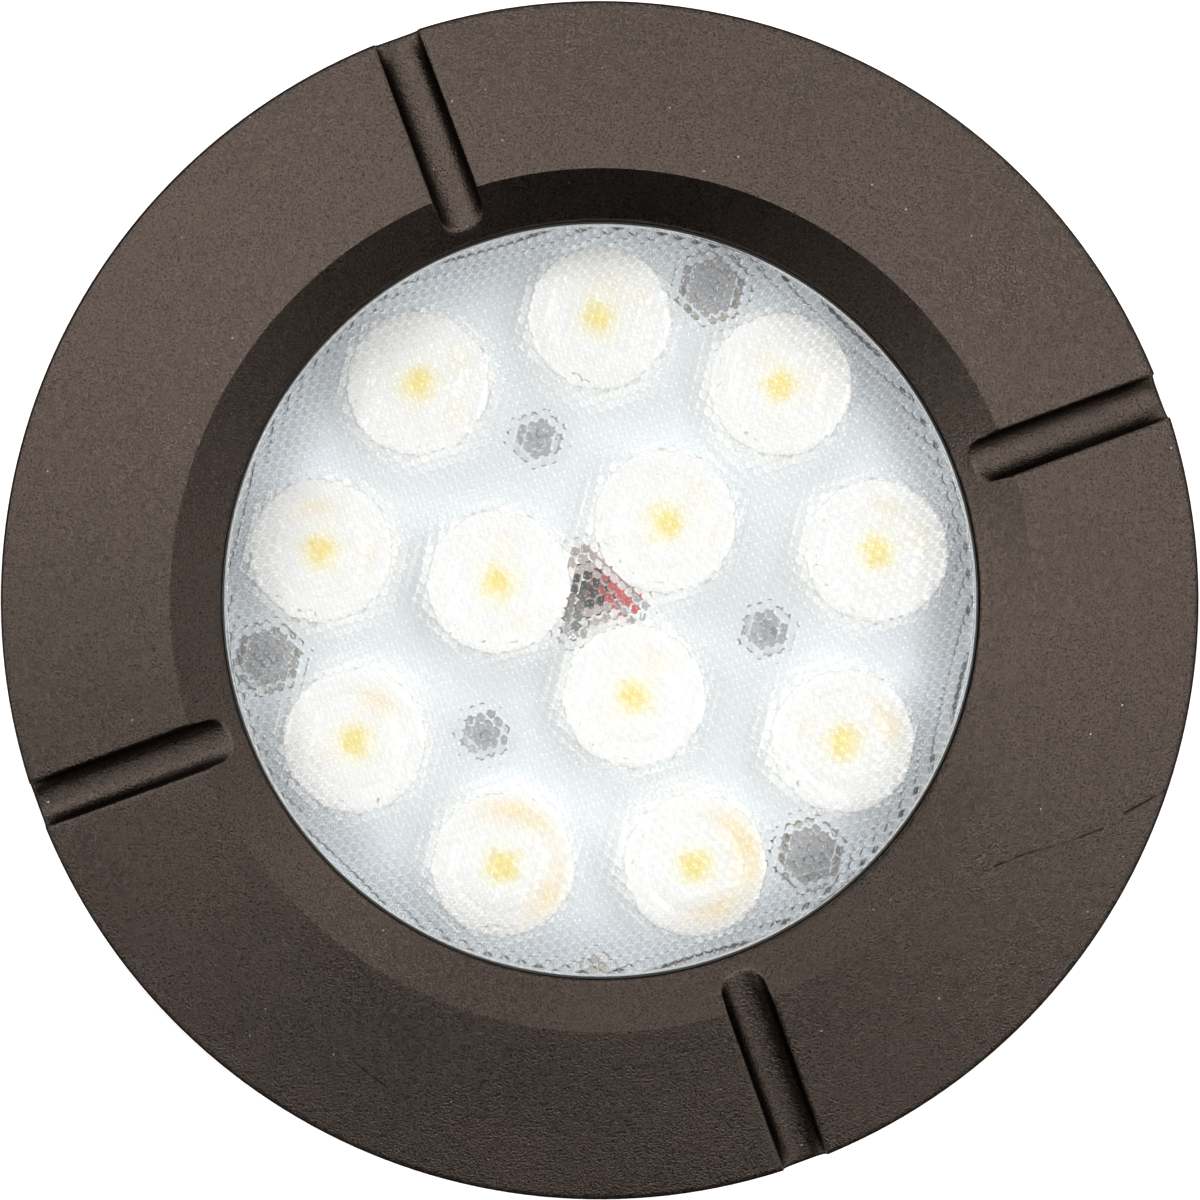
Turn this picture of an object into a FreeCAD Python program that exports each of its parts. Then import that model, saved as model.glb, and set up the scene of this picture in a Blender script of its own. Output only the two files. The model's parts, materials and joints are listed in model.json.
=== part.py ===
import FreeCAD, Part
import math
import os

# In-ground well light, millimetres and degrees. The origin is the centre of the
# sleeve's foot, +Z is up, and +Y is the top of the light as it is looked down on.

# Burial sleeve
grade_height = 125.0       # foot of the sleeve to the paving that the cover rests on
lamp_clearance = 3.0       # radial, from the lamp's fins to the sleeve's barrel
sleeve_wall = 3.0
cup_wall = 3.1             # wall of the wider cup at the top
sleeve_step = 3.0          # thickness of the step that carries the lamp
sleeve_taper = 8.0         # height of the cone under the cup
foot_overhang = 6.0
foot_thickness = 3.0
soil_rib_heights = (32.0, 62.0)
soil_rib_overhang = 3.5
soil_rib_thickness = 2.4
entry_width = 20.0         # arched cable entries in the foot
entry_height = 24.0
entry_count = 4
gusset_count = 8
gusset_thickness = 2.4
gusset_drop = 12.0

# Cover ring
cover_overhang = 8.5       # how far the cover reaches out past the sleeve's cup
cover_edge_height = 7.0
cover_edge_draft = 7.0
cover_edge_wall = 3.2
cover_shell = 3.0
flange_slope = 12.0        # outer face falls away from the ridge
ridge_flat = 0.5           # half the width of the eased ridge
bevel_slope = 33.5         # inner face falls towards the glass
bevel_width = 7.4          # lip to ridge
lip_cover = 0.6            # how far the lip reaches in past the gasket
lip_height = 1.5
edge_round = 0.5           # eased outer edge
skirt_depth = 13.0         # below the paving level
skirt_wall = 3.5
groove_width = 6.5
groove_depth = 4.45
groove_start = 20.0
groove_count = 4
groove_wall = 2.2
groove_clear = 12.0        # the cutter reaches this far above the groove's axis
groove_run_in = 6.0        # and starts this far inside the aperture
cover_rib_count = 16
cover_rib_thickness = 1.8
cover_rib_lift = 0.6       # rib feet above the paving level

# Glass, its gasket and the ring under the lip
lens_thickness = 6.0
lens_chamfer = 0.6
gasket_top = 1.0
gasket_bottom = 1.2
gasket_wall = 2.2
gasket_overlap = 4.0       # how far the channel reaches in over the glass
gasket_inset = 0.2         # housing's bore to the gasket's
friction_ring_thickness = 0.6

# Lamp housing
engine_margin = 3.45       # optic holders to the housing's wall
neck_margin = 0.6          # gasket to the outside of the neck
thread_clearance = 0.3
housing_wall = 4.0
housing_depth = 78.0       # paving level to the underside of the floor
floor_thickness = 4.0
floor_bevel = 3.0
collar_thickness = 3.0
collar_seat = 6.1          # width of the collar on the sleeve's step
skirt_gap = 0.5            # between the cover's skirt and the collar
cup_clearance = 0.3
key_count = 3
key_width = 8.0
key_length = 1.5
key_clearance = 0.3
fin_count = 24
fin_thickness = 2.2
fin_reach = 6.0
fin_foot = 4.0             # fins stop this far above the floor's underside
fin_chamfer = 3.6
ledge_width = 3.5
ledge_height = 3.0
boss_radius = 4.4
boss_height = 12.0
boss_web = 5.3             # width of the web from a boss to the wall

# Light engine
optic_gap = 1.7            # glass to optics
optic_height = 10.6
optic_radius = 10.0
optic_flange = 1.2
optic_foot_radius = 4.4
optic_lift = 1.0           # board to the foot of an optic
optic_cavity_radius = 2.8
optic_cavity_depth = 4.2
optic_rim = 0.8            # the flange stands this far out past the cone
holder_clearance = 0.25    # round the top of the cone
holder_wall = 0.8
outer_ring_radius = 40.3
outer_ring_count = 9
outer_ring_start = 90.0
inner_ring_radius = 14.6
inner_ring_count = 3
inner_ring_start = 50.0
board_thickness = 1.6
board_clearance = 0.5
pad_thickness = 0.5
pad_margin = 0.8           # edge of the pad to the wells
plate_thickness = 4.0
plate_clearance = 0.2
wire_hole_radius = 5.5
wire_hole_x = -1.0
wire_hole_y = 2.4
board_screw_circle = 24.9
board_screw_start = 110.0
well_inset = 6.2           # housing's wall to the wells' centres
well_start = 70.0
well_radius = 4.5
notch_radius = 1.7
notch_inset = 0.6          # board's edge to the notch's centre
notch_angle = -90.0
led_width = 3.5
led_height = 0.7
phosphor_width = 2.6
phosphor_height = 0.3

# Screws
m3_radius = 1.5
m3_head_radius = 2.75
m3_head_height = 2.0
m3_hole = 1.65
m4_radius = 2.0
m4_head_radius = 3.8
m4_head_height = 2.7
m4_hole = 2.2
m3_socket = 2.0            # across the flats of the hexagon socket
m4_socket = 2.5
socket_depth = 1.1
screw_clearance = 0.05     # radial, round a screw's thread
head_clearance = 0.3       # radial, round a screw's head
tapped_margin = 0.6        # a screw's tip stops this short of its hole's end
board_screw_length = 5.2
plate_screw_length = 11.0
floor_screw_length = 5.0

# Driver and terminal block on the floor
driver_x = 15.0
driver_width = 36.0
driver_length = 66.0
driver_height = 24.0
driver_round = 2.0
tab_length = 7.5
tab_width = 15.0
tab_thickness = 2.2
block_x = -21.0
block_y = 28.0
block_width = 17.0
block_depth = 20.0
block_height = 13.0
block_foot = 2.2
pole_pitch = 8.0
pole_hole_radius = 2.2
pole_height = 5.85         # floor to the middle of a wire entry
pole_reach = 6.0           # depth of a wire entry
pole_screw_radius = 1.9
pole_screw_inset = 4.0     # from the block's face to a clamp screw's middle
pole_screw_well = 3.9      # depth of a clamp screw's well
pole_screw_sink = 0.8      # a clamp screw's top below the well's mouth
pole_screw_clearance = 0.2
pole_slot_width = 0.6
pole_slot_depth = 0.7

# Cable gland under the floor
gland_x = -30.0
gland_boss_radius = 13.5
gland_boss_height = 1.5
gland_washer_thickness = 1.5
gland_thread_radius = 7.9
gland_hole_clearance = 0.3
gland_flats = 22.0
gland_flange_height = 5.0
gland_cage_radius = 8.6
gland_cage_length = 12.0
gland_wall = 1.9
gland_passage_clearance = 0.6
seal_length = 10.0
cable_radius = 3.5
nut_clearance = 0.2
nut_mouth_radius = 5.0
nut_lip = 3.0
nut_rim = 0.85             # flat round the nut's mouth, outside its bore
nut_dome = 4.0             # height of the nut's domed end
nut_length = 14.0
locknut_height = 4.0
stem_end = 1.0             # the stem stands this far out of its locknut

# Leads
lead_radius = 0.9
lead_lift = 0.1            # a soldered end lies this far above the board
solder_radius = 1.8
solder_height = 1.5
input_height = 12.0        # where the input leads leave the driver's wall
input_run = 6.0            # straight stretch before the terminal block
input_left_y = 2.0         # where the two input leads leave the driver's wall
input_right_y = 8.0
input_left_reach = 7.0     # and how far they run straight out of it
input_right_reach = 6.0

# How pieces are cut and joined
past = 1.0                 # cutters reach this far past what they cut
overlap = 0.5              # fused pieces reach this far into each other

# Radii and places that follow from the sizes above, from the optics outwards
optic_cone_radius = optic_radius - optic_rim
holder_bore = optic_cone_radius + holder_clearance
holder_radius = holder_bore + holder_wall
housing_bore = outer_ring_radius + holder_radius + engine_margin
housing_radius = housing_bore + housing_wall
fin_radius = housing_radius + fin_reach
board_radius = housing_bore - board_clearance
plate_radius = housing_bore - plate_clearance
well_circle = housing_bore - well_inset
notch_circle = board_radius - notch_inset
pad_radius = well_circle - well_radius - pad_margin
gasket_bore = housing_bore + gasket_inset
lens_radius = gasket_bore + gasket_overlap
gasket_radius = lens_radius + gasket_wall
neck_radius = gasket_radius + neck_margin
skirt_bore = neck_radius + thread_clearance
skirt_radius = skirt_bore + skirt_wall
sleeve_bore = fin_radius + lamp_clearance
sleeve_radius = sleeve_bore + sleeve_wall
collar_radius = sleeve_bore + collar_seat
cup_bore = collar_radius + cup_clearance
cup_radius = cup_bore + cup_wall
aperture_radius = gasket_bore - lip_cover
ridge_radius = aperture_radius + bevel_width
cover_radius = cup_radius + cover_overhang

# Heights that follow
ridge_height = grade_height + cover_edge_height
ridge_height += (cover_radius - ridge_radius) * math.tan(math.radians(flange_slope))
lip_top = ridge_height - (ridge_radius - aperture_radius) * math.tan(math.radians(bevel_slope))
lip_bottom = lip_top - lip_height
friction_bottom = lip_bottom - friction_ring_thickness
lens_top = friction_bottom - gasket_top
lens_bottom = lens_top - lens_thickness
neck_top = lens_bottom - gasket_bottom
optic_top = lens_bottom - optic_gap
board_top = optic_top - optic_height - optic_lift
board_bottom = board_top - board_thickness
plate_top = board_bottom - pad_thickness
plate_bottom = plate_top - plate_thickness
skirt_bottom = grade_height - skirt_depth
collar_top = skirt_bottom - skirt_gap
collar_bottom = collar_top - collar_thickness
housing_bottom = grade_height - housing_depth
floor_top = housing_bottom + floor_thickness

# The gland, the driver and the angles that follow
gland_face = housing_bottom - gland_boss_height
gland_seat = gland_face - gland_washer_thickness
gland_flange_bottom = gland_seat - gland_flange_height
cage_bottom = gland_flange_bottom - gland_cage_length
seal_radius = gland_cage_radius - gland_wall
driver_left = driver_x - driver_width / 2
driver_end = driver_length / 2
boss_angles = [well_start + 120.0 * k for k in range(3)]
board_screw_angles = [board_screw_start + 120.0 * k for k in range(3)]


def surface_height(radius):
    """Height of the cover's outer slope at a radius."""
    return ridge_height - (radius - ridge_radius) * math.tan(math.radians(flange_slope))


def polar(radius, angle):
    return radius * math.cos(math.radians(angle)), radius * math.sin(math.radians(angle))


def led_places():
    """Centres of the light sources: an outer ring and an inner ring."""
    places = []
    for k in range(outer_ring_count):
        places.append(polar(outer_ring_radius, outer_ring_start - 360.0 * k / outer_ring_count))
    for k in range(inner_ring_count):
        places.append(polar(inner_ring_radius, inner_ring_start + 360.0 * k / inner_ring_count))
    return places


def cylinder(radius, bottom, top, x=0.0, y=0.0):
    return Part.makeCylinder(radius, top - bottom, FreeCAD.Vector(x, y, bottom))


def tube(inner, outer, bottom, top, x=0.0, y=0.0):
    return cylinder(outer, bottom, top, x, y).cut(cylinder(inner, bottom, top, x, y))


def block(x0, x1, y0, y1, z0, z1):
    return Part.makeBox(x1 - x0, y1 - y0, z1 - z0, FreeCAD.Vector(x0, y0, z0))


def spin(points):
    """Turn a closed outline of (radius, height) points about the vertical axis."""
    corners = [FreeCAD.Vector(r, 0, z) for r, z in points]
    face = Part.Face(Part.makePolygon(corners + corners[:1]))
    return face.revolve(FreeCAD.Vector(0, 0, 0), FreeCAD.Vector(0, 0, 1), 360)


def plate(points, bottom, top):
    """Extrude a closed outline of (x, y) points upwards."""
    corners = [FreeCAD.Vector(x, y, bottom) for x, y in points]
    face = Part.Face(Part.makePolygon(corners + corners[:1]))
    return face.extrude(FreeCAD.Vector(0, 0, top - bottom))


def side_plate(points, thickness):
    """Extrude an outline of (radius, height) points to both sides of the XZ plane."""
    corners = [FreeCAD.Vector(r, -thickness / 2, z) for r, z in points]
    face = Part.Face(Part.makePolygon(corners + corners[:1]))
    return face.extrude(FreeCAD.Vector(0, thickness, 0))


def hexagon(flats, bottom, top, x=0.0, y=0.0):
    corner = flats / 2 / math.cos(math.radians(30))
    points = [polar(corner, 60 * k) for k in range(6)]
    return plate([(x + px, y + py) for px, py in points], bottom, top)


def turned(shape, angle):
    copy = shape.copy()
    copy.rotate(FreeCAD.Vector(0, 0, 0), FreeCAD.Vector(0, 0, 1), angle)
    return copy


def moved(shape, x, y, z=0.0):
    copy = shape.copy()
    copy.translate(FreeCAD.Vector(x, y, z))
    return copy


def around(shape, count, start=0.0):
    return [turned(shape, start + 360.0 * k / count) for k in range(count)]


def save(name, solids):
    """Write one node, from one solid or a list of separate solids."""
    shape = Part.makeCompound(solids) if isinstance(solids, list) else solids
    shape.exportStep("parts/" + name + ".step")


# ---------------------------------------------------------------- sleeve

def sleeve_keyway():
    """A vertical slot in the cup for one of the collar's keys, open at the rim."""
    half = key_width / 2 + key_clearance
    reach = collar_radius + key_length + key_clearance
    return block(cup_bore - past, reach, -half, half, collar_bottom, grade_height + past)


def cable_entry():
    """An arched opening through the barrel, from the foot up."""
    inside = sleeve_bore - past
    reach = sleeve_radius + foot_overhang + past
    half = entry_width / 2
    start = FreeCAD.Vector(inside, 0, entry_height - half)
    arch = Part.makeCylinder(half, reach - inside, start, FreeCAD.Vector(1, 0, 0))
    return arch.fuse(block(inside, reach, -half, half, -past, entry_height - half))


def sleeve_gusset():
    top = collar_bottom - sleeve_step - sleeve_taper
    bottom = top - gusset_drop
    inside = sleeve_radius - sleeve_wall / 2
    overhang = cup_radius - sleeve_radius
    points = [(inside, bottom), (sleeve_radius, bottom), (sleeve_radius + overhang, top + sleeve_taper),
              (inside, top + sleeve_taper)]
    return side_plate(points, gusset_thickness)


def burial_sleeve():
    step_bottom = collar_bottom - sleeve_step
    points = [
        (sleeve_bore, 0), (sleeve_radius + foot_overhang, 0),
        (sleeve_radius + foot_overhang, foot_thickness), (sleeve_radius, foot_thickness),
        (sleeve_radius, step_bottom - sleeve_taper), (cup_radius, step_bottom),
        (cup_radius, grade_height), (cup_bore, grade_height),
        (cup_bore, collar_bottom), (sleeve_bore, collar_bottom),
    ]
    body = spin(points)
    inside = sleeve_radius - overlap
    ribs = [tube(inside, sleeve_radius + soil_rib_overhang, z, z + soil_rib_thickness)
            for z in soil_rib_heights]
    body = body.multiFuse(ribs + around(sleeve_gusset(), gusset_count, 180.0 / gusset_count))
    cuts = around(cable_entry(), entry_count) + around(sleeve_keyway(), key_count, well_start)
    return body.cut(Part.makeCompound(cuts)).removeSplitter()


# ---------------------------------------------------------------- cover

def groove_body(half_width, depth, start, reach):
    """A long U, open upwards, that runs outwards and down with the cover's slope."""
    slope = math.radians(flange_slope)
    run = FreeCAD.Vector(math.cos(slope), 0, -math.sin(slope))
    up = FreeCAD.Vector(math.sin(slope), 0, math.cos(slope))
    side = FreeCAD.Vector(0, half_width, 0)
    centre = FreeCAD.Vector(start, 0, surface_height(start)) - up * (depth * math.cos(slope) - half_width)
    high = centre + up * groove_clear
    edges = [
        Part.Arc(centre - side, centre - up * half_width, centre + side).toShape(),
        Part.LineSegment(centre + side, high + side).toShape(),
        Part.LineSegment(high + side, high - side).toShape(),
        Part.LineSegment(high - side, centre - side).toShape(),
    ]
    return Part.Face(Part.Wire(edges)).extrude(run * reach)


def cover_draft():
    """How far the outer wall leans in at its foot."""
    return cover_edge_height * math.tan(math.radians(cover_edge_draft))


def cover_envelope():
    """The flange's outer form down to the paving level, as a solid of revolution."""
    inside = skirt_bore + overlap
    return spin([(inside, grade_height), (cover_radius - cover_draft(), grade_height),
                 (cover_radius, surface_height(cover_radius)), (inside, surface_height(inside))])


def cover_rib():
    """A web under the flange between the skirt and the outer wall."""
    outer = cover_radius - cover_draft() - cover_edge_wall / 2
    inner = skirt_radius - skirt_wall / 2
    foot = grade_height + cover_rib_lift
    points = [(inner, foot), (outer, foot), (outer, surface_height(outer) - cover_shell / 2),
              (inner, surface_height(inner) - cover_shell / 2)]
    return side_plate(points, cover_rib_thickness)


def cover_ring():
    draft = cover_draft()
    recess = cover_radius - cover_edge_wall
    bevel_fall = math.tan(math.radians(bevel_slope))
    shoulder = cover_radius - edge_round
    points = [
        (aperture_radius, lip_bottom), (aperture_radius, lip_top),
        (ridge_radius - ridge_flat, ridge_height - ridge_flat * bevel_fall),
        (ridge_radius + ridge_flat, surface_height(ridge_radius + ridge_flat)),
        (shoulder, surface_height(shoulder)),
        (cover_radius, surface_height(cover_radius) - edge_round), (cover_radius - draft, grade_height),
        (cover_radius - draft - cover_edge_wall, grade_height),
        (recess, surface_height(recess) - cover_shell),
        (skirt_radius, surface_height(skirt_radius) - cover_shell),
        (skirt_radius, skirt_bottom), (skirt_bore, skirt_bottom), (skirt_bore, lip_bottom),
    ]
    body = spin(points)
    trough = groove_body(groove_width / 2 + groove_wall, groove_depth + groove_wall, skirt_bore,
                         cover_radius)
    trough = trough.common(cover_envelope())
    ribs = around(cover_rib(), cover_rib_count, groove_start + 180.0 / cover_rib_count)
    body = body.multiFuse(around(trough, groove_count, groove_start) + ribs)
    groove = groove_body(groove_width / 2, groove_depth, aperture_radius - groove_run_in, cover_radius)
    body = body.cut(Part.makeCompound(around(groove, groove_count, groove_start)))
    return body.removeSplitter()


# ---------------------------------------------------------------- glass

def lens():
    edge = lens_radius - lens_chamfer
    points = [
        (0, lens_bottom), (edge, lens_bottom), (lens_radius, lens_bottom + lens_chamfer),
        (lens_radius, lens_top - lens_chamfer), (edge, lens_top), (0, lens_top),
    ]
    return spin(points)


def lens_gasket():
    """A silicone channel that wraps the edge of the glass."""
    points = [
        (gasket_bore, neck_top), (gasket_radius, neck_top), (gasket_radius, friction_bottom),
        (gasket_bore, friction_bottom), (gasket_bore, lens_top), (lens_radius, lens_top),
        (lens_radius, lens_bottom), (gasket_bore, lens_bottom),
    ]
    return spin(points)


# ---------------------------------------------------------------- housing

def housing_fin():
    foot = housing_bottom + fin_foot
    inside = housing_radius - housing_wall / 2
    top = collar_bottom + overlap
    points = [(inside, foot), (fin_radius - fin_chamfer, foot), (fin_radius, foot + fin_chamfer),
              (fin_radius, top), (inside, top)]
    return side_plate(points, fin_thickness)


def plate_boss():
    """A screw boss under the ledge, webbed to the wall."""
    bottom = plate_bottom - boss_height
    post = cylinder(boss_radius, bottom, plate_bottom, well_circle)
    web = block(well_circle, housing_bore + housing_wall / 2, -boss_web / 2, boss_web / 2,
                bottom, plate_bottom)
    return post.fuse(web)


def lamp_housing():
    ledge = housing_bore - ledge_width
    points = [
        (0, housing_bottom), (housing_radius - floor_bevel, housing_bottom),
        (housing_radius, housing_bottom + floor_bevel), (housing_radius, collar_bottom),
        (collar_radius, collar_bottom), (collar_radius, collar_top), (neck_radius, collar_top),
        (neck_radius, neck_top), (housing_bore, neck_top), (housing_bore, plate_bottom),
        (ledge, plate_bottom), (ledge, plate_bottom - ledge_height),
        (housing_bore, plate_bottom - ledge_height - ledge_width),
        (housing_bore, floor_top), (0, floor_top),
    ]
    body = spin(points)
    key = block(collar_radius - key_length, collar_radius + key_length, -key_width / 2, key_width / 2,
                collar_bottom, collar_top)
    adds = around(housing_fin(), fin_count, 180.0 / fin_count)
    adds += [turned(plate_boss(), angle) for angle in boss_angles]
    adds += around(key, key_count, well_start)
    adds.append(cylinder(gland_boss_radius, gland_face, floor_top, gland_x))
    body = body.multiFuse(adds)
    depth = plate_screw_length - plate_thickness + tapped_margin
    tapped = cylinder(m4_radius + screw_clearance, plate_bottom - depth, plate_bottom, well_circle)
    cuts = [turned(tapped, angle) for angle in boss_angles]
    gland_hole = gland_thread_radius + gland_hole_clearance
    cuts.append(cylinder(gland_hole, gland_face - past, floor_top + past, gland_x))
    floor_depth = floor_screw_length - tab_thickness + tapped_margin
    for x, y in floor_screw_places():
        cuts.append(cylinder(m3_radius + screw_clearance, floor_top - floor_depth, floor_top + past, x, y))
    return body.cut(Part.makeCompound(cuts)).removeSplitter()


# ---------------------------------------------------------------- light engine

def engine_disc(radius, bottom, top, screw_hole, well_hole=None):
    """A disc with the wire hole, three screw holes and, where a radius is given, three wells."""
    low = bottom - past
    high = top + past
    cuts = [cylinder(wire_hole_radius, low, high, wire_hole_x, wire_hole_y)]
    for angle in board_screw_angles:
        cuts.append(turned(cylinder(screw_hole, low, high, board_screw_circle), angle))
    if well_hole:
        for angle in boss_angles:
            cuts.append(turned(cylinder(well_hole, low, high, well_circle), angle))
    return cylinder(radius, bottom, top).cut(Part.makeCompound(cuts))


def led_board():
    board = engine_disc(board_radius, board_bottom, board_top, m3_hole, well_radius)
    notch = cylinder(notch_radius, board_bottom - past, board_top + past, notch_circle)
    notch = turned(notch, notch_angle)
    return board.cut(notch)


def led_package():
    half = led_width / 2
    return block(-half, half, -half, half, board_top, board_top + led_height)


def phosphor():
    """The square of phosphor on a package's top."""
    half = phosphor_width / 2
    base = board_top + led_height
    return block(-half, half, -half, half, base, base + phosphor_height)


def optic():
    """A total-internal-reflection lens: cone, flange and a cavity over the light source."""
    foot = board_top + optic_lift
    flange = optic_top - optic_flange
    return spin([
        (0, foot + optic_cavity_depth), (optic_cavity_radius, foot + optic_cavity_depth),
        (optic_cavity_radius, foot), (optic_foot_radius, foot), (optic_cone_radius, flange),
        (optic_radius, flange), (optic_radius, optic_top), (0, optic_top),
    ])


def optic_holder():
    """The white cup round an optic: its rim carries the optic's flange."""
    return tube(holder_bore, holder_radius, board_top, optic_top - optic_flange)


# ---------------------------------------------------------------- screws

def pan_screw(radius, head_radius, head_height, socket, length):
    """A screw standing on z = 0, with a hexagon socket in its head."""
    screw = spin([(0, -length), (radius, -length), (radius, 0), (head_radius, 0),
                  (head_radius, head_height), (0, head_height)])
    return screw.cut(hexagon(socket, head_height - socket_depth, head_height + past))


def m3_screw(length):
    return pan_screw(m3_radius, m3_head_radius, m3_head_height, m3_socket, length)


def floor_screw_places():
    """Two screws through the driver's tabs and one through the terminal block's foot."""
    reach = driver_end + tab_length / 2
    return [(driver_x, reach), (driver_x, -reach), (block_x, block_y)]


def board_screws():
    screw = moved(m3_screw(board_screw_length), board_screw_circle, 0, board_top)
    return [turned(screw, angle) for angle in board_screw_angles]


def plate_screws():
    screw = pan_screw(m4_radius, m4_head_radius, m4_head_height, m4_socket, plate_screw_length)
    screw = moved(screw, well_circle, 0, plate_top)
    return [turned(screw, angle) for angle in boss_angles]


def floor_screws():
    return [moved(m3_screw(floor_screw_length), x, y, floor_top + tab_thickness)
            for x, y in floor_screw_places()]


# ---------------------------------------------------------------- floor equipment

def driver_case():
    half = driver_width / 2
    body = block(driver_x - half, driver_x + half, -driver_end, driver_end, floor_top,
                 floor_top + driver_height)
    upright = [e for e in body.Edges if abs(e.BoundBox.ZLength - driver_height) < 0.01]
    body = body.makeFillet(driver_round, upright)
    tabs = []
    left = driver_x - tab_width / 2
    root = driver_end - overlap
    tip = driver_end + tab_length
    for y0, y1 in ((root, tip), (-tip, -root)):
        tabs.append(block(left, left + tab_width, y0, y1, floor_top, floor_top + tab_thickness))
    body = body.multiFuse(tabs)
    for x, y in floor_screw_places()[:2]:
        body = body.cut(cylinder(m3_hole, floor_top - past, floor_top + tab_thickness + past, x, y))
    return body.removeSplitter()


def pole_places():
    return [block_x - pole_pitch / 2, block_x + pole_pitch / 2]


def pole_screw_y():
    return block_y - block_depth / 2 + pole_screw_inset


def terminal_block():
    """A two-pole block: wire entries through it and a clamp-screw well over each."""
    half = block_width / 2
    y0 = block_y - block_depth / 2
    y1 = block_y + block_depth / 2
    top = floor_top + block_height
    body = block(block_x - half, block_x + half, y0, y1, floor_top, top)
    cuts = [cylinder(m3_head_radius + head_clearance, floor_top + block_foot, top + past, block_x, block_y)]
    cuts.append(cylinder(m3_hole, floor_top - past, top, block_x, block_y))
    for x in pole_places():
        for y, direction in ((y0 - past, 1), (y1 + past, -1)):
            start = FreeCAD.Vector(x, y, floor_top + pole_height)
            cuts.append(Part.makeCylinder(pole_hole_radius, pole_reach + past, start,
                                          FreeCAD.Vector(0, direction, 0)))
        well = pole_screw_radius + pole_screw_clearance
        cuts.append(cylinder(well, top - pole_screw_well, top + past, x, pole_screw_y()))
    return body.cut(Part.makeCompound(cuts)).removeSplitter()


def terminal_screws():
    """Slotted clamp screws in the block's wells."""
    y = pole_screw_y()
    low = floor_top + block_height - pole_screw_well
    top = floor_top + block_height - pole_screw_sink
    half = pole_slot_width / 2
    screws = []
    for x in pole_places():
        slot = block(x - pole_screw_radius, x + pole_screw_radius, y - half, y + half,
                     top - pole_slot_depth, top + past)
        screws.append(cylinder(pole_screw_radius, low, top, x, y).cut(slot))
    return screws


# ---------------------------------------------------------------- gland

def gland_body():
    passage = cable_radius + gland_passage_clearance
    stem_top = floor_top + locknut_height + stem_end
    stem = cylinder(gland_thread_radius, gland_seat - overlap, stem_top, gland_x)
    cage = cylinder(gland_cage_radius, cage_bottom, gland_flange_bottom + overlap, gland_x)
    body = hexagon(gland_flats, gland_flange_bottom, gland_seat, gland_x).fuse(stem).fuse(cage)
    seat = cage_bottom + seal_length
    body = body.cut(cylinder(seal_radius, cage_bottom - past, seat, gland_x))
    return body.cut(cylinder(passage, seat - past, stem_top + past, gland_x)).removeSplitter()


def gland_nut():
    """The clamping nut, with a domed mouth."""
    bottom = cage_bottom - nut_lip
    top = bottom + nut_length
    bore = gland_cage_radius + nut_clearance
    corner = gland_flats / 2 / math.cos(math.radians(30))
    dome = spin([(0, bottom), (bore + nut_rim, bottom), (corner, bottom + nut_dome), (corner, top), (0, top)])
    body = hexagon(gland_flats, bottom, top).common(dome)
    body = body.cut(cylinder(bore, cage_bottom, top + past))
    body = body.cut(cylinder(nut_mouth_radius, bottom - past, top))
    return moved(body, gland_x, 0)


def gland_locknut():
    nut = hexagon(gland_flats, floor_top, floor_top + locknut_height)
    nut = nut.cut(cylinder(gland_thread_radius, floor_top - past, floor_top + locknut_height + past))
    return moved(nut, gland_x, 0)


# ---------------------------------------------------------------- leads

def route_wire(points):
    """Straight runs joined by tangent arcs, each as large as its two runs allow."""
    spots = [FreeCAD.Vector(*p) for p in points]
    edges = []
    last = spots[0]
    length = 0.0
    for k in range(1, len(spots) - 1):
        before = spots[k] - spots[k - 1]
        after = spots[k + 1] - spots[k]
        turn = before.getAngle(after)
        reach = 0.45 * min(before.Length, after.Length)
        radius = reach / math.tan(turn / 2)
        start = spots[k] - FreeCAD.Vector(before).normalize() * reach
        finish = spots[k] + FreeCAD.Vector(after).normalize() * reach
        inward = (FreeCAD.Vector(after).normalize() - FreeCAD.Vector(before).normalize()).normalize()
        middle = spots[k] + inward * (radius / math.cos(turn / 2) - radius)
        edges.append(Part.LineSegment(last, start).toShape())
        edges.append(Part.Arc(start, middle, finish).toShape())
        length += (start - last).Length + radius * turn
        last = finish
        print("  arc radius %.1f" % radius)
    edges.append(Part.LineSegment(last, spots[-1]).toShape())
    length += (spots[-1] - last).Length
    return Part.Wire(edges), length


def lead(name, points):
    """An insulated lead along its route, its round section drawn with eight sides."""
    wire, length = route_wire(points)
    start = FreeCAD.Vector(*points[0])
    run = (FreeCAD.Vector(*points[1]) - start).normalize()
    across = run.cross(FreeCAD.Vector(0, 0, 1)).normalize()
    over = run.cross(across)
    corners = []
    for k in range(8):
        x, y = polar(lead_radius, 22.5 + 45.0 * k)
        corners.append(start + across * x + over * y)
    section = Part.makePolygon(corners + corners[:1])
    solid = wire.makePipeShell([section], True, False)
    area = Part.Face(section).Area
    print(name, "volume / (section x length) = %.4f" % (solid.Volume / (area * length)))
    return solid


def red_points():
    x = driver_left
    f = floor_top
    t = board_top
    return [(x, 6, f + 16), (x - 6, 6, f + 16), (x - 10, 6, f + 22), (x - 8, 5.4, f + 32),
            (wire_hole_x + 1.4, wire_hole_y + 1.2, f + 44), (wire_hole_x + 1.8, wire_hole_y - 0.2, t - 2),
            (wire_hole_x + 3.2, wire_hole_y - 1.5, t + 3.4),
            (wire_hole_x + 6.2, wire_hole_y - 3.3, t + lead_radius + lead_lift)]


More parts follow.
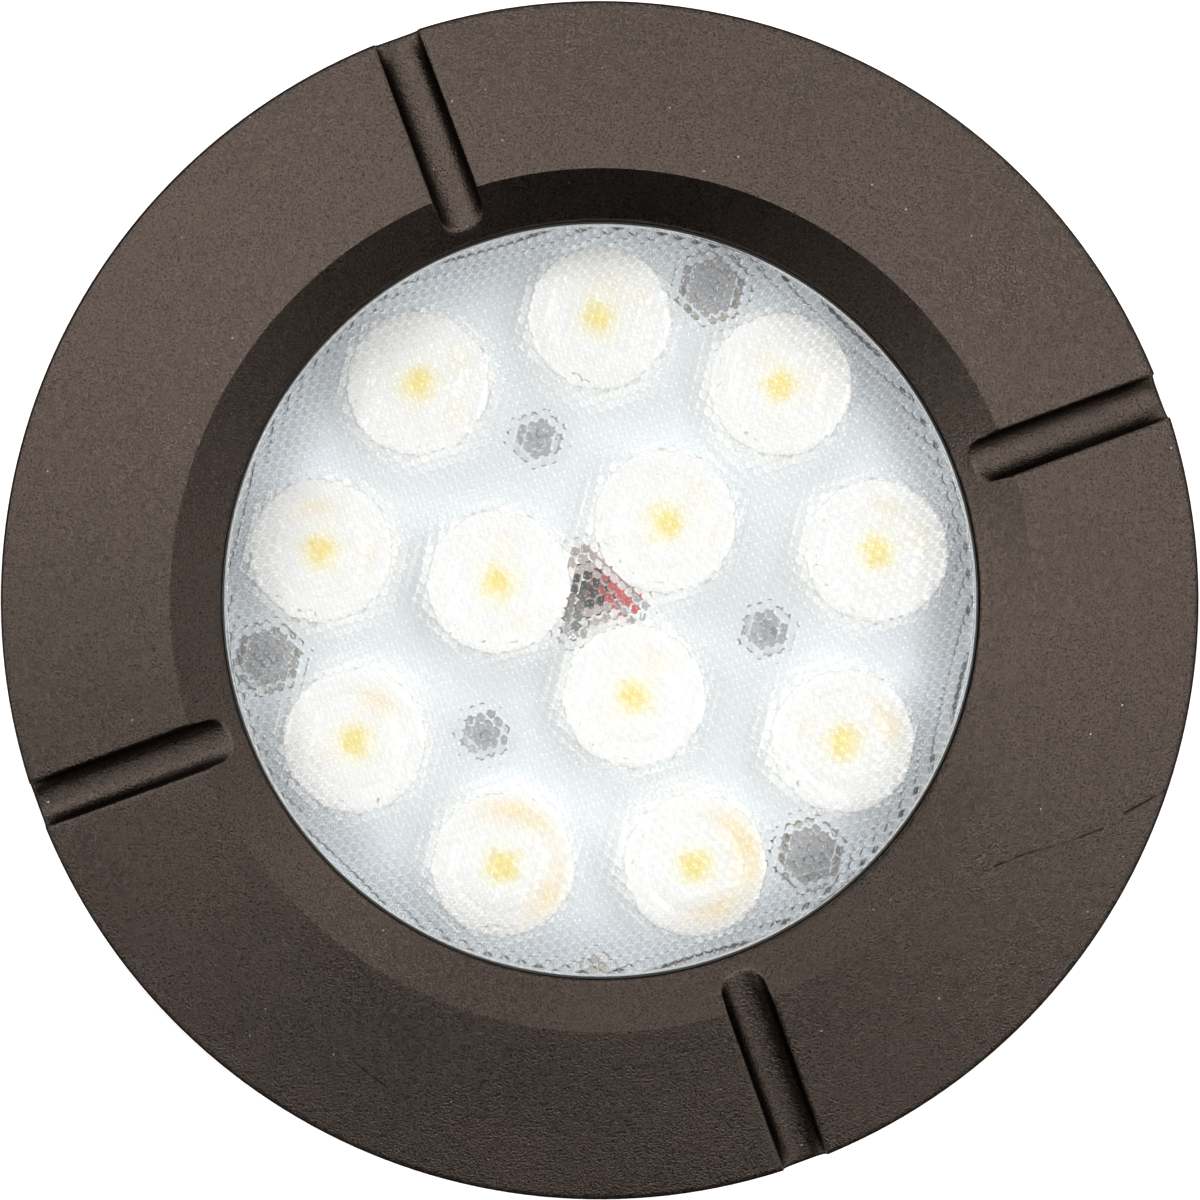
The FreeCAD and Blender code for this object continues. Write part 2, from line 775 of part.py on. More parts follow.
def black_points():
    x = driver_left
    f = floor_top
    t = board_top
    return [(x, -6, f + 16), (x - 7, -6, f + 16), (x - 11, -4.8, f + 23), (x - 8.5, -2.6, f + 33),
            (wire_hole_x - 1.6, wire_hole_y - 1.2, f + 45), (wire_hole_x - 1.7, wire_hole_y - 1.8, t - 2),
            (wire_hole_x - 1.8, wire_hole_y - 3.4, t + 3.2),
            (wire_hole_x - 2.4, wire_hole_y - 6.6, t + lead_radius + lead_lift)]


def input_points(x, y, reach):
    """From the driver's side wall round to one pole of the terminal block."""
    mouth = block_y - block_depth / 2
    z = floor_top + pole_height
    start_z = floor_top + input_height
    middle = (driver_left - reach + x) / 2 - 1.0
    return [(driver_left, y, start_z), (driver_left - reach, y, start_z),
            (middle, y + 1.0, (z + start_z) / 2 + 1.0),
            (x, mouth - input_run, z), (x, mouth + pole_reach, z)]


def solder_joint(end):
    """A mound of solder on the board round a lead's end."""
    foot = FreeCAD.Vector(end[0], end[1], board_top)
    return Part.makeCone(solder_radius, solder_radius / 2, solder_height, foot)


def build():
    os.makedirs("parts", exist_ok=True)
    save("burial_sleeve", burial_sleeve())
    save("cover_ring", cover_ring())
    save("friction_ring", tube(gasket_bore, gasket_radius, friction_bottom, lip_bottom))
    save("lens", lens())
    save("lens_gasket", lens_gasket())
    save("lamp_housing", lamp_housing())
    save("heat_spreader_plate", engine_disc(plate_radius, plate_bottom, plate_top,
                                            m3_radius + screw_clearance, m4_hole))
    save("thermal_pad", engine_disc(pad_radius, plate_top, board_bottom, m3_hole))
    save("led_board", led_board())
    places = led_places()
    save("led_packages", [moved(led_package(), x, y) for x, y in places])
    save("led_phosphors", [moved(phosphor(), x, y) for x, y in places])
    for number, (x, y) in enumerate(places, 1):
        save("optic_%02d" % number, moved(optic(), x, y))
        save("optic_holder_%02d" % number, moved(optic_holder(), x, y))
    save("board_screws", board_screws())
    save("plate_screws", plate_screws())
    save("floor_screws", floor_screws())
    save("driver_case", driver_case())
    save("terminal_block", terminal_block())
    save("terminal_screws", terminal_screws())
    red = lead("red_lead", red_points())
    black = lead("black_lead", black_points())
    save("red_lead", red)
    save("black_lead", black)
    save("solder_joints", [solder_joint(red_points()[-1]).cut(red),
                           solder_joint(black_points()[-1]).cut(black)])
    front, back = pole_places()
    save("input_lead_left", lead("input_lead_left", input_points(front, input_left_y, input_left_reach)))
    save("input_lead_right", lead("input_lead_right", input_points(back, input_right_y, input_right_reach)))
    save("gland_body", gland_body())
    save("gland_washer", tube(gland_thread_radius + gland_hole_clearance, gland_flats / 2,
                              gland_seat, gland_face, gland_x))
    save("gland_locknut", gland_locknut())
    save("gland_seal", tube(cable_radius, seal_radius, cage_bottom, cage_bottom + seal_length, gland_x))
    save("gland_nut", gland_nut())


build()
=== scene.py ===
import bpy
import bmesh
import json
import math
from mathutils import Matrix, Vector


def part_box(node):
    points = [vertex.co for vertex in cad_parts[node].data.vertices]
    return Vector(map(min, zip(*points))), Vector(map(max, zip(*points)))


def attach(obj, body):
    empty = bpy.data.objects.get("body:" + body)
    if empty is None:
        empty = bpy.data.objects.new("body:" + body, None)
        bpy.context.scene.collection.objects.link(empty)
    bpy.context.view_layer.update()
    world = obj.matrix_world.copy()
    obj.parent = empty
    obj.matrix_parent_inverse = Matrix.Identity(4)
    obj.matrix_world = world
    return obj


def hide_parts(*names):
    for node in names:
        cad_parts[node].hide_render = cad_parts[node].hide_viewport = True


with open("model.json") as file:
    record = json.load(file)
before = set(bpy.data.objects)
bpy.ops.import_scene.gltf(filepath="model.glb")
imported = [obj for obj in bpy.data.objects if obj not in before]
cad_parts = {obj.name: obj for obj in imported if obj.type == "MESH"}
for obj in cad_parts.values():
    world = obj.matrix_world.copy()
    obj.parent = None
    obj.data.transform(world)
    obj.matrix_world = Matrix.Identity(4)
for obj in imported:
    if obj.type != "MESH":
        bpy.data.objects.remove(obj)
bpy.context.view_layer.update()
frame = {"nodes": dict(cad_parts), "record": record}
nodes = frame["nodes"]
scene = bpy.context.scene
mm = 0.001
print("frame loaded:", len(nodes), "nodes")


# helpers for meshes, with sizes in millimetres

def addObject(name, data):
    piece = bpy.data.objects.new(name, data)
    scene.collection.objects.link(piece)
    return piece


def dress(piece, body, slot, replaced=None):
    # a visible piece gets its finish, rides on a body, and takes the place of a CAD node
    if not piece.data.materials:
        piece.data.materials.append(finishes[slot])
    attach(piece, body)
    if replaced:
        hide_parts(replaced)


def ringPoints(radius, height, segments, centre=(0.0, 0.0)):
    turns = [2 * math.pi * k / segments for k in range(segments)]
    return [(centre[0] + radius * math.cos(t), centre[1] + radius * math.sin(t), height) for t in turns]


def bandFaces(low, high):
    # four-cornered faces between two closed rings of corners
    neighbours = [(k, (k + 1) % len(low)) for k in range(len(low))]
    return [(low[k], low[n], high[n], high[k]) for k, n in neighbours]


def meshFromPoints(name, points, faces, sharpAngle=30.0):
    # the faces of a closed shell come out pointing outwards
    mesh = bpy.data.meshes.new(name)
    mesh.from_pydata([(x * mm, y * mm, z * mm) for x, y, z in points], [], faces)
    mesh.update()
    shell = bmesh.new()
    shell.from_mesh(mesh)
    if shell.calc_volume(signed=True) < 0:
        bmesh.ops.reverse_faces(shell, faces=shell.faces)
    shell.to_mesh(mesh)
    shell.free()
    mesh.shade_smooth()
    mesh.set_sharp_from_angle(angle=math.radians(sharpAngle))
    return mesh


def revolve(name, outline, segments, centre=(0.0, 0.0), sharpAngle=30.0):
    # a closed outline of (radius, height); a point on the axis becomes a single pole
    points, rings, faces = [], [], []
    onAxis = outline[0][0] < 1e-6
    for radius, height in outline:
        if radius < 1e-6:
            rings.append([len(points)] * segments)
            points.append((*centre, height))
        else:
            rings.append(range(len(points), len(points) + segments))
            points += ringPoints(radius, height, segments, centre)
    for low, high in zip(rings, rings[1:] + ([] if onAxis else rings[:1])):
        for corners in bandFaces(low, high):
            face = [c for i, c in enumerate(corners) if c != corners[i - 1]]
            if len(face) > 2:
                faces.append(face)
    return meshFromPoints(name, points, faces, sharpAngle)


# helpers for node trees

def wire(tree, source, socket):
    # a socket takes another node's output, a colour, or a plain number or place
    if isinstance(source, bpy.types.NodeSocket):
        tree.links.new(source, socket)
    elif socket.type == "RGBA":
        socket.default_value = (*source, 1.0)
    else:
        socket.default_value = source


def node(tree, kind, inputs=None, **settings):
    made = tree.nodes.new(kind)
    for key, value in settings.items():
        setattr(made, key, value)
    for label, source in (inputs or {}).items():
        wire(tree, source, made.inputs[label])
    return made


def mathNode(tree, operation, *values, clamp=False):
    made = node(tree, "ShaderNodeMath", dict(enumerate(values)), operation=operation, use_clamp=clamp)
    return made.outputs[0]


def vectorNode(tree, operation, *values):
    made = node(tree, "ShaderNodeVectorMath", dict(enumerate(values)), operation=operation)
    return made.outputs["Value" if operation in ("LENGTH", "DISTANCE", "DOT_PRODUCT") else "Vector"]


def scaleNode(tree, vector, factor):
    return node(tree, "ShaderNodeVectorMath", {0: vector, "Scale": factor}, operation="SCALE").outputs[0]


def mixColour(tree, factor, a, b):
    return node(tree, "ShaderNodeMix", {0: factor, 6: a, 7: b}, data_type="RGBA").outputs[2]


def rangeNode(tree, value, low, high, toLow=0.0, toHigh=1.0, smooth=False):
    style = "SMOOTHSTEP" if smooth else "LINEAR"
    limits = {0: value, 1: low, 2: high, 3: toLow, 4: toHigh}
    return node(tree, "ShaderNodeMapRange", limits, interpolation_type=style).outputs[0]


def flatReach(tree, place):
    # distance from the vertical axis
    return vectorNode(tree, "LENGTH", vectorNode(tree, "MULTIPLY", place, (1.0, 1.0, 0.0)))


def rayMask(tree, *labels):
    # 1 for the kinds of ray that are named
    path = node(tree, "ShaderNodeLightPath")
    mask = path.outputs[labels[0]]
    for label in labels[1:]:
        mask = mathNode(tree, "MAXIMUM", mask, path.outputs[label])
    return mask


def mixShader(tree, factor, a, b):
    # between two shader nodes
    return node(tree, "ShaderNodeMixShader", {0: factor, 1: a.outputs[0], 2: b.outputs[0]})


def makeGroup(name, inputs, outputs):
    # an input is a vector without a default, a colour with three numbers, and otherwise a value
    group = bpy.data.node_groups.new(name, "ShaderNodeTree")
    for label, default in inputs.items():
        kind = "Vector" if default is None else "Color" if isinstance(default, tuple) else "Float"
        socket = group.interface.new_socket(label, in_out="INPUT", socket_type="NodeSocket" + kind)
        if kind == "Float":
            socket.default_value = default
    for label, kind in outputs.items():
        group.interface.new_socket(label, in_out="OUTPUT", socket_type="NodeSocket" + kind)
    return group, node(group, "NodeGroupInput").outputs, node(group, "NodeGroupOutput").inputs


def useGroup(tree, group, inputs):
    made = node(tree, "ShaderNodeGroup", node_tree=group)
    for label, source in inputs.items():
        wire(tree, source, made.inputs[label])
    return made.outputs


def startMaterial(name, shaderValues):
    material = bpy.data.materials.new(name)
    material.use_nodes = True
    tree = material.node_tree
    shader = tree.nodes["Principled BSDF"]
    for label, value in shaderValues.items():
        wire(tree, value, shader.inputs[label])
    return material, tree, shader, node(tree, "ShaderNodeTexCoord").outputs["Object"]


# helpers for trees that set copies of one shape

def startCopyTree(name, inputs):
    tree = bpy.data.node_groups.new(name, "GeometryNodeTree")
    for label, kind in {"Geometry": "Geometry", "Copy": "Object", **inputs, "Finish": "Material"}.items():
        tree.interface.new_socket(label, in_out="INPUT", socket_type="NodeSocket" + kind)
    tree.interface.new_socket("Geometry", in_out="OUTPUT", socket_type="NodeSocketGeometry")
    return tree, node(tree, "NodeGroupInput").outputs


def finishCopyTree(tree, given, dots, turn=(0.0, 0.0, 0.0), weldGap=None):
    # a copy on every dot, made real, welded where a gap is given, and painted
    shape = node(tree, "GeometryNodeObjectInfo", {"Object": given["Copy"]}, transform_space="ORIGINAL")
    copies = node(tree, "GeometryNodeInstanceOnPoints", {
        "Points": dots, "Instance": shape.outputs["Geometry"], "Rotation": turn,
    })
    result = node(tree, "GeometryNodeRealizeInstances", {0: copies.outputs[0]}).outputs[0]
    if weldGap is not None:
        merge = {"Geometry": result, "Distance": weldGap}
        result = node(tree, "GeometryNodeMergeByDistance", merge).outputs[0]
    paint = node(tree, "GeometryNodeSetMaterial", {"Geometry": result, "Material": given["Finish"]})
    node(tree, "NodeGroupOutput", {0: paint.outputs[0]})
    return tree


def growCopies(name, tree, values):
    # the tree's result as a plain mesh; the shape that it copied is removed
    piece = addObject(name, bpy.data.meshes.new(name))
    modifier = piece.modifiers.new(tree.name, "NODES")
    modifier.node_group = tree
    for item in tree.interface.items_tree:
        if item.item_type == "SOCKET" and item.in_out == "INPUT" and item.name in values:
            modifier[item.identifier] = values[item.name]
    graph = bpy.context.evaluated_depsgraph_get()
    graph.update()
    mesh = bpy.data.meshes.new_from_object(piece.evaluated_get(graph))
    piece.modifiers.clear()
    piece.data = mesh
    while len(mesh.materials) > 1 and mesh.materials[0] is None:
        mesh.materials.pop(index=0)
    bpy.data.objects.remove(values["Copy"])
    return piece


# camera, light and floor

cameraSettings = {
    "height": 1.2, "sideways": -0.042, "aim": (-0.00018, 0.00003, 0.132), "lens": 254.1, "sensor": 36.0,
    "near": 0.05, "far": 20.0,
}


def makeCamera(s):
    data = bpy.data.cameras.new("camera")
    data.lens = s["lens"]
    data.sensor_width = s["sensor"]
    data.clip_start = s["near"]
    data.clip_end = s["far"]
    camera = addObject("camera", data)
    aim = Vector(s["aim"])
    place = aim + Vector((s["sideways"], 0.0, s["height"]))
    back = (place - aim).normalized()
    right = Vector((0.0, 1.0, 0.0)).cross(back).normalized()
    turn = Matrix((right, back.cross(right), back)).transposed().to_4x4()
    camera.matrix_world = Matrix.Translation(place) @ turn
    scene.camera = camera


panelSettings = {
    "distance": 2.2, "width": 0.7, "target": (0.0, 0.0, 0.13), "level": 0.71,
    # elevation and direction in degrees, watts, and a width of its own: the side towards -Y stays dark
    "panels": [
        (73, 0, 17.0, 0.6), (76, 180, 7.8, 0.5), (76, 225, 3.0, 0.5),
        (62, 60, 5.2), (62, 90, 5.2), (62, 120, 4.0), (62, 30, 2.4), (62, 330, 1.5),
        (45, 150, 13.5), (45, 0, 3.5),
        (28, 120, 5.8), (28, 210, 5.6), (28, 330, 4.0), (28, 60, 1.9),
        (12, 180, 19.0), (12, 45, 13.4), (12, 90, 10.3), (12, 0, 5.8),
    ],
}


def makePanels(s):
    for i, (rise, turn, watts, *own) in enumerate(s["panels"]):
        data = bpy.data.lights.new("panel%02d" % i, "AREA")
        data.shape = "DISK"
        data.size = own[0] if own else s["width"]
        data.energy = watts * s["level"]
        lamp = addObject(data.name, data)
        up, round_ = math.radians(rise), math.radians(turn)
        aim = Vector((math.cos(up) * math.cos(round_), math.cos(up) * math.sin(round_), math.sin(up)))
        place = Matrix.Translation(Vector(s["target"]) + aim * s["distance"])
        lamp.matrix_world = place @ aim.to_track_quat("Z", "Y").to_matrix().to_4x4()


floorSettings = {
    "size": 6.0, "drop": 0.0002, "colour": (0.86, 0.86, 0.86), "unevenness": 0.985, "grainScale": 40.0,
    "lift": 0.55, "worldFill": 0.03,
}


def makeFloor(s):
    half = s["size"] / 2
    mesh = bpy.data.meshes.new("floor")
    corners = [(-half, -half, 0), (half, -half, 0), (half, half, 0), (-half, half, 0)]
    mesh.from_pydata(corners, [], [(0, 1, 2, 3)])
    material = bpy.data.materials.new("paleFloor")
    material.use_nodes = True
    tree = material.node_tree
    tree.nodes.clear()
    coords = node(tree, "ShaderNodeTexCoord")
    grain = node(tree, "ShaderNodeTexNoise", {"Vector": coords.outputs["Object"], "Scale": s["grainScale"]})
    dark = tuple(s["unevenness"] * c for c in s["colour"])
    colour = mixColour(tree, grain.outputs[0], dark, s["colour"])
    paint = node(tree, "ShaderNodeBsdfDiffuse", {"Color": colour})
    paintedGlow = node(tree, "ShaderNodeEmission", {"Strength": s["lift"]})
    both = node(tree, "ShaderNodeAddShader", {0: paint.outputs[0], 1: paintedGlow.outputs[0]})
    seen = rayMask(tree, "Is Camera Ray", "Is Glossy Ray", "Is Transmission Ray")
    node(tree, "ShaderNodeOutputMaterial", {0: mixShader(tree, seen, paint, both).outputs[0]})
    mesh.materials.append(material)
    floor = addObject("floor", mesh)
    floor.location.z = -s["drop"]


def makeWorld(s):
    world = bpy.data.worlds.new("studio")
    scene.world = world
    world.use_nodes = True
    tree = world.node_tree
    tree.nodes.clear()
    fill = node(tree, "ShaderNodeBackground", {"Strength": s["worldFill"]})
    white = node(tree, "ShaderNodeBackground", {"Strength": 1.0})
    choose = mixShader(tree, rayMask(tree, "Is Camera Ray"), fill, white)
    node(tree, "ShaderNodeOutputWorld", {0: choose.outputs[0]})


scene.view_settings.view_transform = "Standard"
makeCamera(cameraSettings)
makePanels(panelSettings)
makeFloor(floorSettings)
makeWorld(floorSettings)
print("camera, lamps and floor made")


# effects that several finishes share

def makeGrainGroup():
    # fine bumps over slow blotches: colour, roughness and normal
    group, given, out = makeGroup("surfaceGrain", {
        "Vector": None, "Colour": (0.5, 0.5, 0.5), "Grain Scale": 1200.0, "Grain Height": 0.00003,
        "Grain Shade": 0.1, "Blotch Scale": 60.0, "Blotch Shade": 0.08, "Roughness": 0.5,
        "Roughness Spread": 0.1,
    }, {"Colour": "Color", "Roughness": "Float", "Normal": "Vector"})
    fine, blotch = [node(group, "ShaderNodeTexNoise", {
        "Vector": given["Vector"], "Scale": given[scale], "Detail": detail,
    }).outputs[0] for scale, detail in (("Grain Scale", 3.0), ("Blotch Scale", 4.0))]
    fineSwing = mathNode(group, "SUBTRACT", fine, 0.5)
    blotchSwing = mathNode(group, "SUBTRACT", blotch, 0.5)
    shade = mathNode(group, "ADD", mathNode(group, "MULTIPLY", fineSwing, given["Grain Shade"]),
                     mathNode(group, "MULTIPLY", blotchSwing, given["Blotch Shade"]))
    factor = mathNode(group, "MULTIPLY_ADD", shade, 2.0, 1.0)
    wire(group, scaleNode(group, given["Colour"], factor), out["Colour"])
    swing = mathNode(group, "ADD", blotchSwing, fineSwing)
    rough = mathNode(group, "MULTIPLY", swing, given["Roughness Spread"])
    wire(group, mathNode(group, "ADD", rough, given["Roughness"], clamp=True), out["Roughness"])
    bump = node(group, "ShaderNodeBump", {"Strength": 1.0, "Distance": given["Grain Height"], "Height": fine})
    wire(group, bump.outputs[0], out["Normal"])
    return group


def makeRingDistanceGroup():
    # distance in the plan from the nearest of several places evenly turned on a ring
    group, given, out = makeGroup("ringDistance", {"Vector": None, "Ring": 0.04, "Step": 0.7, "Start": 0.0},
                                  {"Distance": "Float", "Reach": "Float"})
    x, y = node(group, "ShaderNodeSeparateXYZ", {0: given["Vector"]}).outputs[:2]
    turn = mathNode(group, "SUBTRACT", mathNode(group, "ARCTAN2", y, x), given["Start"])
    folded = mathNode(group, "PINGPONG", turn, mathNode(group, "MULTIPLY", given["Step"], 0.5))

    def hypotenuse(a, b):
        squares = [mathNode(group, "MULTIPLY", side, side) for side in (a, b)]
        return mathNode(group, "SQRT", mathNode(group, "ADD", *squares))

    reach = hypotenuse(x, y)
    ahead = mathNode(group, "MULTIPLY", reach, mathNode(group, "COSINE", folded))
    across = mathNode(group, "MULTIPLY", reach, mathNode(group, "SINE", folded))
    wire(group, hypotenuse(mathNode(group, "SUBTRACT", ahead, given["Ring"]), across), out["Distance"])
    wire(group, reach, out["Reach"])
    return group


def makeSpecksGroup():
    # small round specks at random places: 1 on a speck, 0 beside it
    group, given, out = makeGroup("specks", {"Vector": None, "Scale": 300.0, "Size": 0.1, "Share": 0.1},
                                  {"Mask": "Float"})
    cells = node(group, "ShaderNodeTexVoronoi", {"Vector": given["Vector"], "Scale": given["Scale"]})
    near = mathNode(group, "LESS_THAN", cells.outputs["Distance"], given["Size"])
    pick = node(group, "ShaderNodeSeparateColor", {0: cells.outputs["Color"]})
    chosen = mathNode(group, "LESS_THAN", pick.outputs[0], given["Share"])
    wire(group, mathNode(group, "MULTIPLY", near, chosen), out["Mask"])
    return group


scratchForm = {"swayScale": 60.0, "breakScale": 420.0, "breakRange": (0.35, 0.55, 0.15, 1.0)}


def makeScratchGroup(s):
    # one thin scratch between two points in the plan, a little wavy and uneven: 1 on it, 0 beside it
    group, given, out = makeGroup("scratch", {
        "Vector": None, "Start": None, "End": None, "Width": 0.0001, "Wave": 0.001,
    }, {"Mask": "Float"})
    level = (1.0, 1.0, 0.0)
    flat = vectorNode(group, "MULTIPLY", given["Vector"], level)
    sway = node(group, "ShaderNodeTexNoise", {"Vector": flat, "Scale": s["swayScale"], "Detail": 1.0})
    swing = vectorNode(group, "MULTIPLY_ADD", sway.outputs["Color"], level, (-0.5, -0.5, 0.0))
    moved = vectorNode(group, "ADD", flat, scaleNode(group, swing, given["Wave"]))
    reach = vectorNode(group, "SUBTRACT", given["End"], given["Start"])
    arm = vectorNode(group, "SUBTRACT", moved, given["Start"])
    share = mathNode(group, "DIVIDE", vectorNode(group, "DOT_PRODUCT", arm, reach),
                     vectorNode(group, "DOT_PRODUCT", reach, reach), clamp=True)
    gap = vectorNode(group, "DISTANCE", arm, scaleNode(group, reach, share))
    line = mathNode(group, "SUBTRACT", 1.0, mathNode(group, "DIVIDE", gap, given["Width"]), clamp=True)
    breaks = node(group, "ShaderNodeTexNoise", {"Vector": flat, "Scale": s["breakScale"]})
    uneven = rangeNode(group, breaks.outputs[0], *s["breakRange"])
    wire(group, mathNode(group, "MULTIPLY", line, uneven), out["Mask"])
    return group


grainGroup = makeGrainGroup()
ringDistanceGroup = makeRingDistanceGroup()
specksGroup = makeSpecksGroup()
scratchGroup = makeScratchGroup(scratchForm)


# plain finishes: grain is bumps per metre and their height in metres

finishSettings = {
    "sleeve_black": {"colour": (0.022, 0.022, 0.023), "roughness": 0.5, "grain": (900, 6e-5)},
    "cast_aluminium": {"colour": (0.42, 0.42, 0.43), "roughness": 0.48, "grain": (1500, 5e-5), "metal": 1.0},
    "spreader_aluminium": {"colour": (0.42, 0.375, 0.315), "roughness": 0.5, "grain": (900, 1e-5),
                           "metal": 1.0},
    # painted light: the holders glow faintly, to lighten the shade round each optic
    "holder_white": {"colour": (0.88, 0.88, 0.86), "roughness": 0.4, "grain": (900, 5e-6),
                     "paintedGlow": ((0.90, 0.90, 0.87), 0.24)},
    "board_white": {"colour": (0.62, 0.65, 0.68), "roughness": 0.35, "grain": (700, 4e-6),
                    "shade": (0.01, 0.02)},
    "led_ceramic": {"colour": (0.88, 0.87, 0.82), "roughness": 0.4, "grain": (2000, 4e-6)},
    "phosphor_yellow": {"colour": (0.93, 0.72, 0.16), "roughness": 0.6, "grain": (3000, 1e-5)},
    "pad_grey": {"colour": (0.64, 0.55, 0.53), "roughness": 0.75, "grain": (900, 3e-5)},
    "gasket_black": {"colour": (0.028, 0.028, 0.029), "roughness": 0.32, "grain": (1500, 1e-5)},
    "slip_nylon": {"colour": (0.10, 0.10, 0.10), "roughness": 0.5, "grain": (1500, 1e-5)},
    "screw_steel": {"colour": (0.15, 0.15, 0.155), "roughness": 0.42, "grain": (3000, 5e-6), "metal": 1.0},
    "driver_black": {"colour": (0.035, 0.036, 0.038), "roughness": 0.55, "grain": (900, 4e-5)},
    "terminal_white": {"colour": (0.72, 0.71, 0.66), "roughness": 0.5, "grain": (900, 1e-5)},
    "terminal_brass": {"colour": (0.60, 0.46, 0.20), "roughness": 0.35, "grain": (2000, 5e-6), "metal": 1.0},
    "gland_black": {"colour": (0.030, 0.030, 0.031), "roughness": 0.42, "grain": (1200, 2e-5)},
    "wire_red": {"colour": (0.55, 0.025, 0.020), "roughness": 0.4, "grain": (1500, 1e-5)},
    "wire_black": {"colour": (0.15, 0.14, 0.14), "roughness": 0.35, "grain": (1500, 1e-5)},
    "solder": {"colour": (0.55, 0.55, 0.56), "roughness": 0.25, "grain": (1500, 1e-5), "metal": 1.0},
}
plainGrain = {"shade": (0.08, 0.06), "blotchScale": 60.0, "roughnessSpread": 0.15}


def grainMaterial(name, s):
    # a finish that is one colour with grain, blotches and uneven gloss, and a painted glow where one is given
    paintedGlowColour, paintedGlowStrength = s.get("paintedGlow", ((1.0, 1.0, 1.0), 0.0))
    material, tree, shader, place = startMaterial(name, {
        "Metallic": s.get("metal", 0.0), "Emission Color": paintedGlowColour, "Emission Strength": paintedGlowStrength,
    })
    scale, height = s["grain"]
    grainShade, blotchShade = s.get("shade", plainGrain["shade"])
    grain = useGroup(tree, grainGroup, {
        "Vector": place, "Colour": s["colour"], "Grain Scale": scale, "Grain Height": height,
        "Grain Shade": grainShade, "Blotch Scale": plainGrain["blotchScale"], "Blotch Shade": blotchShade,
        "Roughness": s["roughness"], "Roughness Spread": plainGrain["roughnessSpread"],
    })
    wire(tree, grain["Colour"], shader.inputs["Base Color"])
    wire(tree, grain["Roughness"], shader.inputs["Roughness"])
    wire(tree, grain["Normal"], shader.inputs["Normal"])
    return material


finishes = {name: grainMaterial(name, values) for name, values in finishSettings.items()}


def openFinish(material):
    # what a later step adds to: the tree, its shader, the grain's colour and the place
    tree = material.node_tree
    grain = next(n for n in tree.nodes if n.type == "GROUP")
    coords = next(n for n in tree.nodes if n.type == "TEX_COORD")
    return tree, tree.nodes["Principled BSDF"], grain.outputs["Colour"], coords.outputs["Object"]


# painted shade towards the board's edge, a painted glow all over, and a painted lighter halo round each optic
boardShade = {
    "shadeStart": 0.0440, "shadeEnd": 0.0530, "shade": 0.86, "haloStart": 0.0100, "haloEnd": 0.0128,
    "paintedGlow": (0.070, 0.074, 0.078), "paintedHaloColour": (0.70, 0.71, 0.70), "paintedHaloGlow": (0.15, 0.15, 0.145),
    "rings": [(0.0392, 40.0, 90.0), (0.0142, 120.0, 50.0)],  # radius, step and first direction
}


def shadeBoard(material, s):
    # painted shade: the board greys a little towards its edge; painted light: a faint glow all over, and a
    # lighter, glowing halo round each optic
    tree, shader, grain, place = openFinish(material)
    found = [useGroup(tree, ringDistanceGroup, {
        "Vector": place, "Ring": ring, "Step": math.radians(step), "Start": math.radians(start),
    }) for ring, step, start in s["rings"]]
    near = mathNode(tree, "MINIMUM", found[0]["Distance"], found[1]["Distance"])
    halo = rangeNode(tree, near, s["haloStart"], s["haloEnd"], 1.0, 0.0, smooth=True)
    edge = rangeNode(tree, found[0]["Reach"], s["shadeStart"], s["shadeEnd"], smooth=True)
    colour = mixColour(tree, edge, grain, scaleNode(tree, grain, s["shade"]))
    wire(tree, mixColour(tree, halo, colour, s["paintedHaloColour"]), shader.inputs["Base Color"])
    wire(tree, mixColour(tree, halo, s["paintedGlow"], s["paintedHaloGlow"]), shader.inputs["Emission Color"])
    wire(tree, 1.0, shader.inputs["Emission Strength"])


# painted light: a pale colour and a glow for the bore beside the board
paintedBoreLight = {"radius": 0.0556, "bottom": 0.1085, "colour": (0.58, 0.59, 0.61), "paintedGlow": (0.16, 0.165, 0.17)}


def paintBoreLight(material, s):
    # painted light: the bore beside the board is painted pale and given a painted glow; it doesn't shine like
    # the casting's outside
    tree, shader, grain, place = openFinish(material)
    height = node(tree, "ShaderNodeSeparateXYZ", {0: place}).outputs[2]
    inside = mathNode(tree, "MULTIPLY", mathNode(tree, "LESS_THAN", flatReach(tree, place), s["radius"]),
                      mathNode(tree, "GREATER_THAN", height, s["bottom"]))
    wire(tree, mixColour(tree, inside, grain, s["colour"]), shader.inputs["Base Color"])
    wire(tree, mathNode(tree, "SUBTRACT", 1.0, inside), shader.inputs["Metallic"])
    wire(tree, mixColour(tree, inside, (0.0, 0.0, 0.0), s["paintedGlow"]), shader.inputs["Emission Color"])
    wire(tree, 1.0, shader.inputs["Emission Strength"])


shadeBoard(finishes["board_white"], boardShade)
paintBoreLight(finishes["cast_aluminium"], paintedBoreLight)


# bronze powder coat of the cover ring

coatSettings = {
    # worn is the colour of the scratches and of the painted shade along the outer edge
    "base": (0.0785, 0.0613, 0.0517), "wornAndShaded": (0.010, 0.008, 0.007), "dust": (0.40, 0.37, 0.34),
    "rim": (0.62, 0.56, 0.50), "roughness": 0.29, "roughnessSpread": 0.4, "wornRoughness": 0.6,
    "grainScale": 3600.0, "grainHeight": 0.00012, "grainShade": 1.25,
    "blotchScale": 30.0, "blotchShade": 0.12, "speckScale": 420.0, "speckSize": 0.06, "speckShare": 0.13,
    "scratches": [((0.0555, -0.0372), (0.0712, -0.0324)), ((0.0742, -0.0302), (0.0806, -0.0275)),
                  ((-0.0300, -0.0690), (-0.0345, -0.0655))],
    "scratchWidth": 0.00024, "scratchWave": 0.0022, "edge": (0.08462, 0.08480),
}


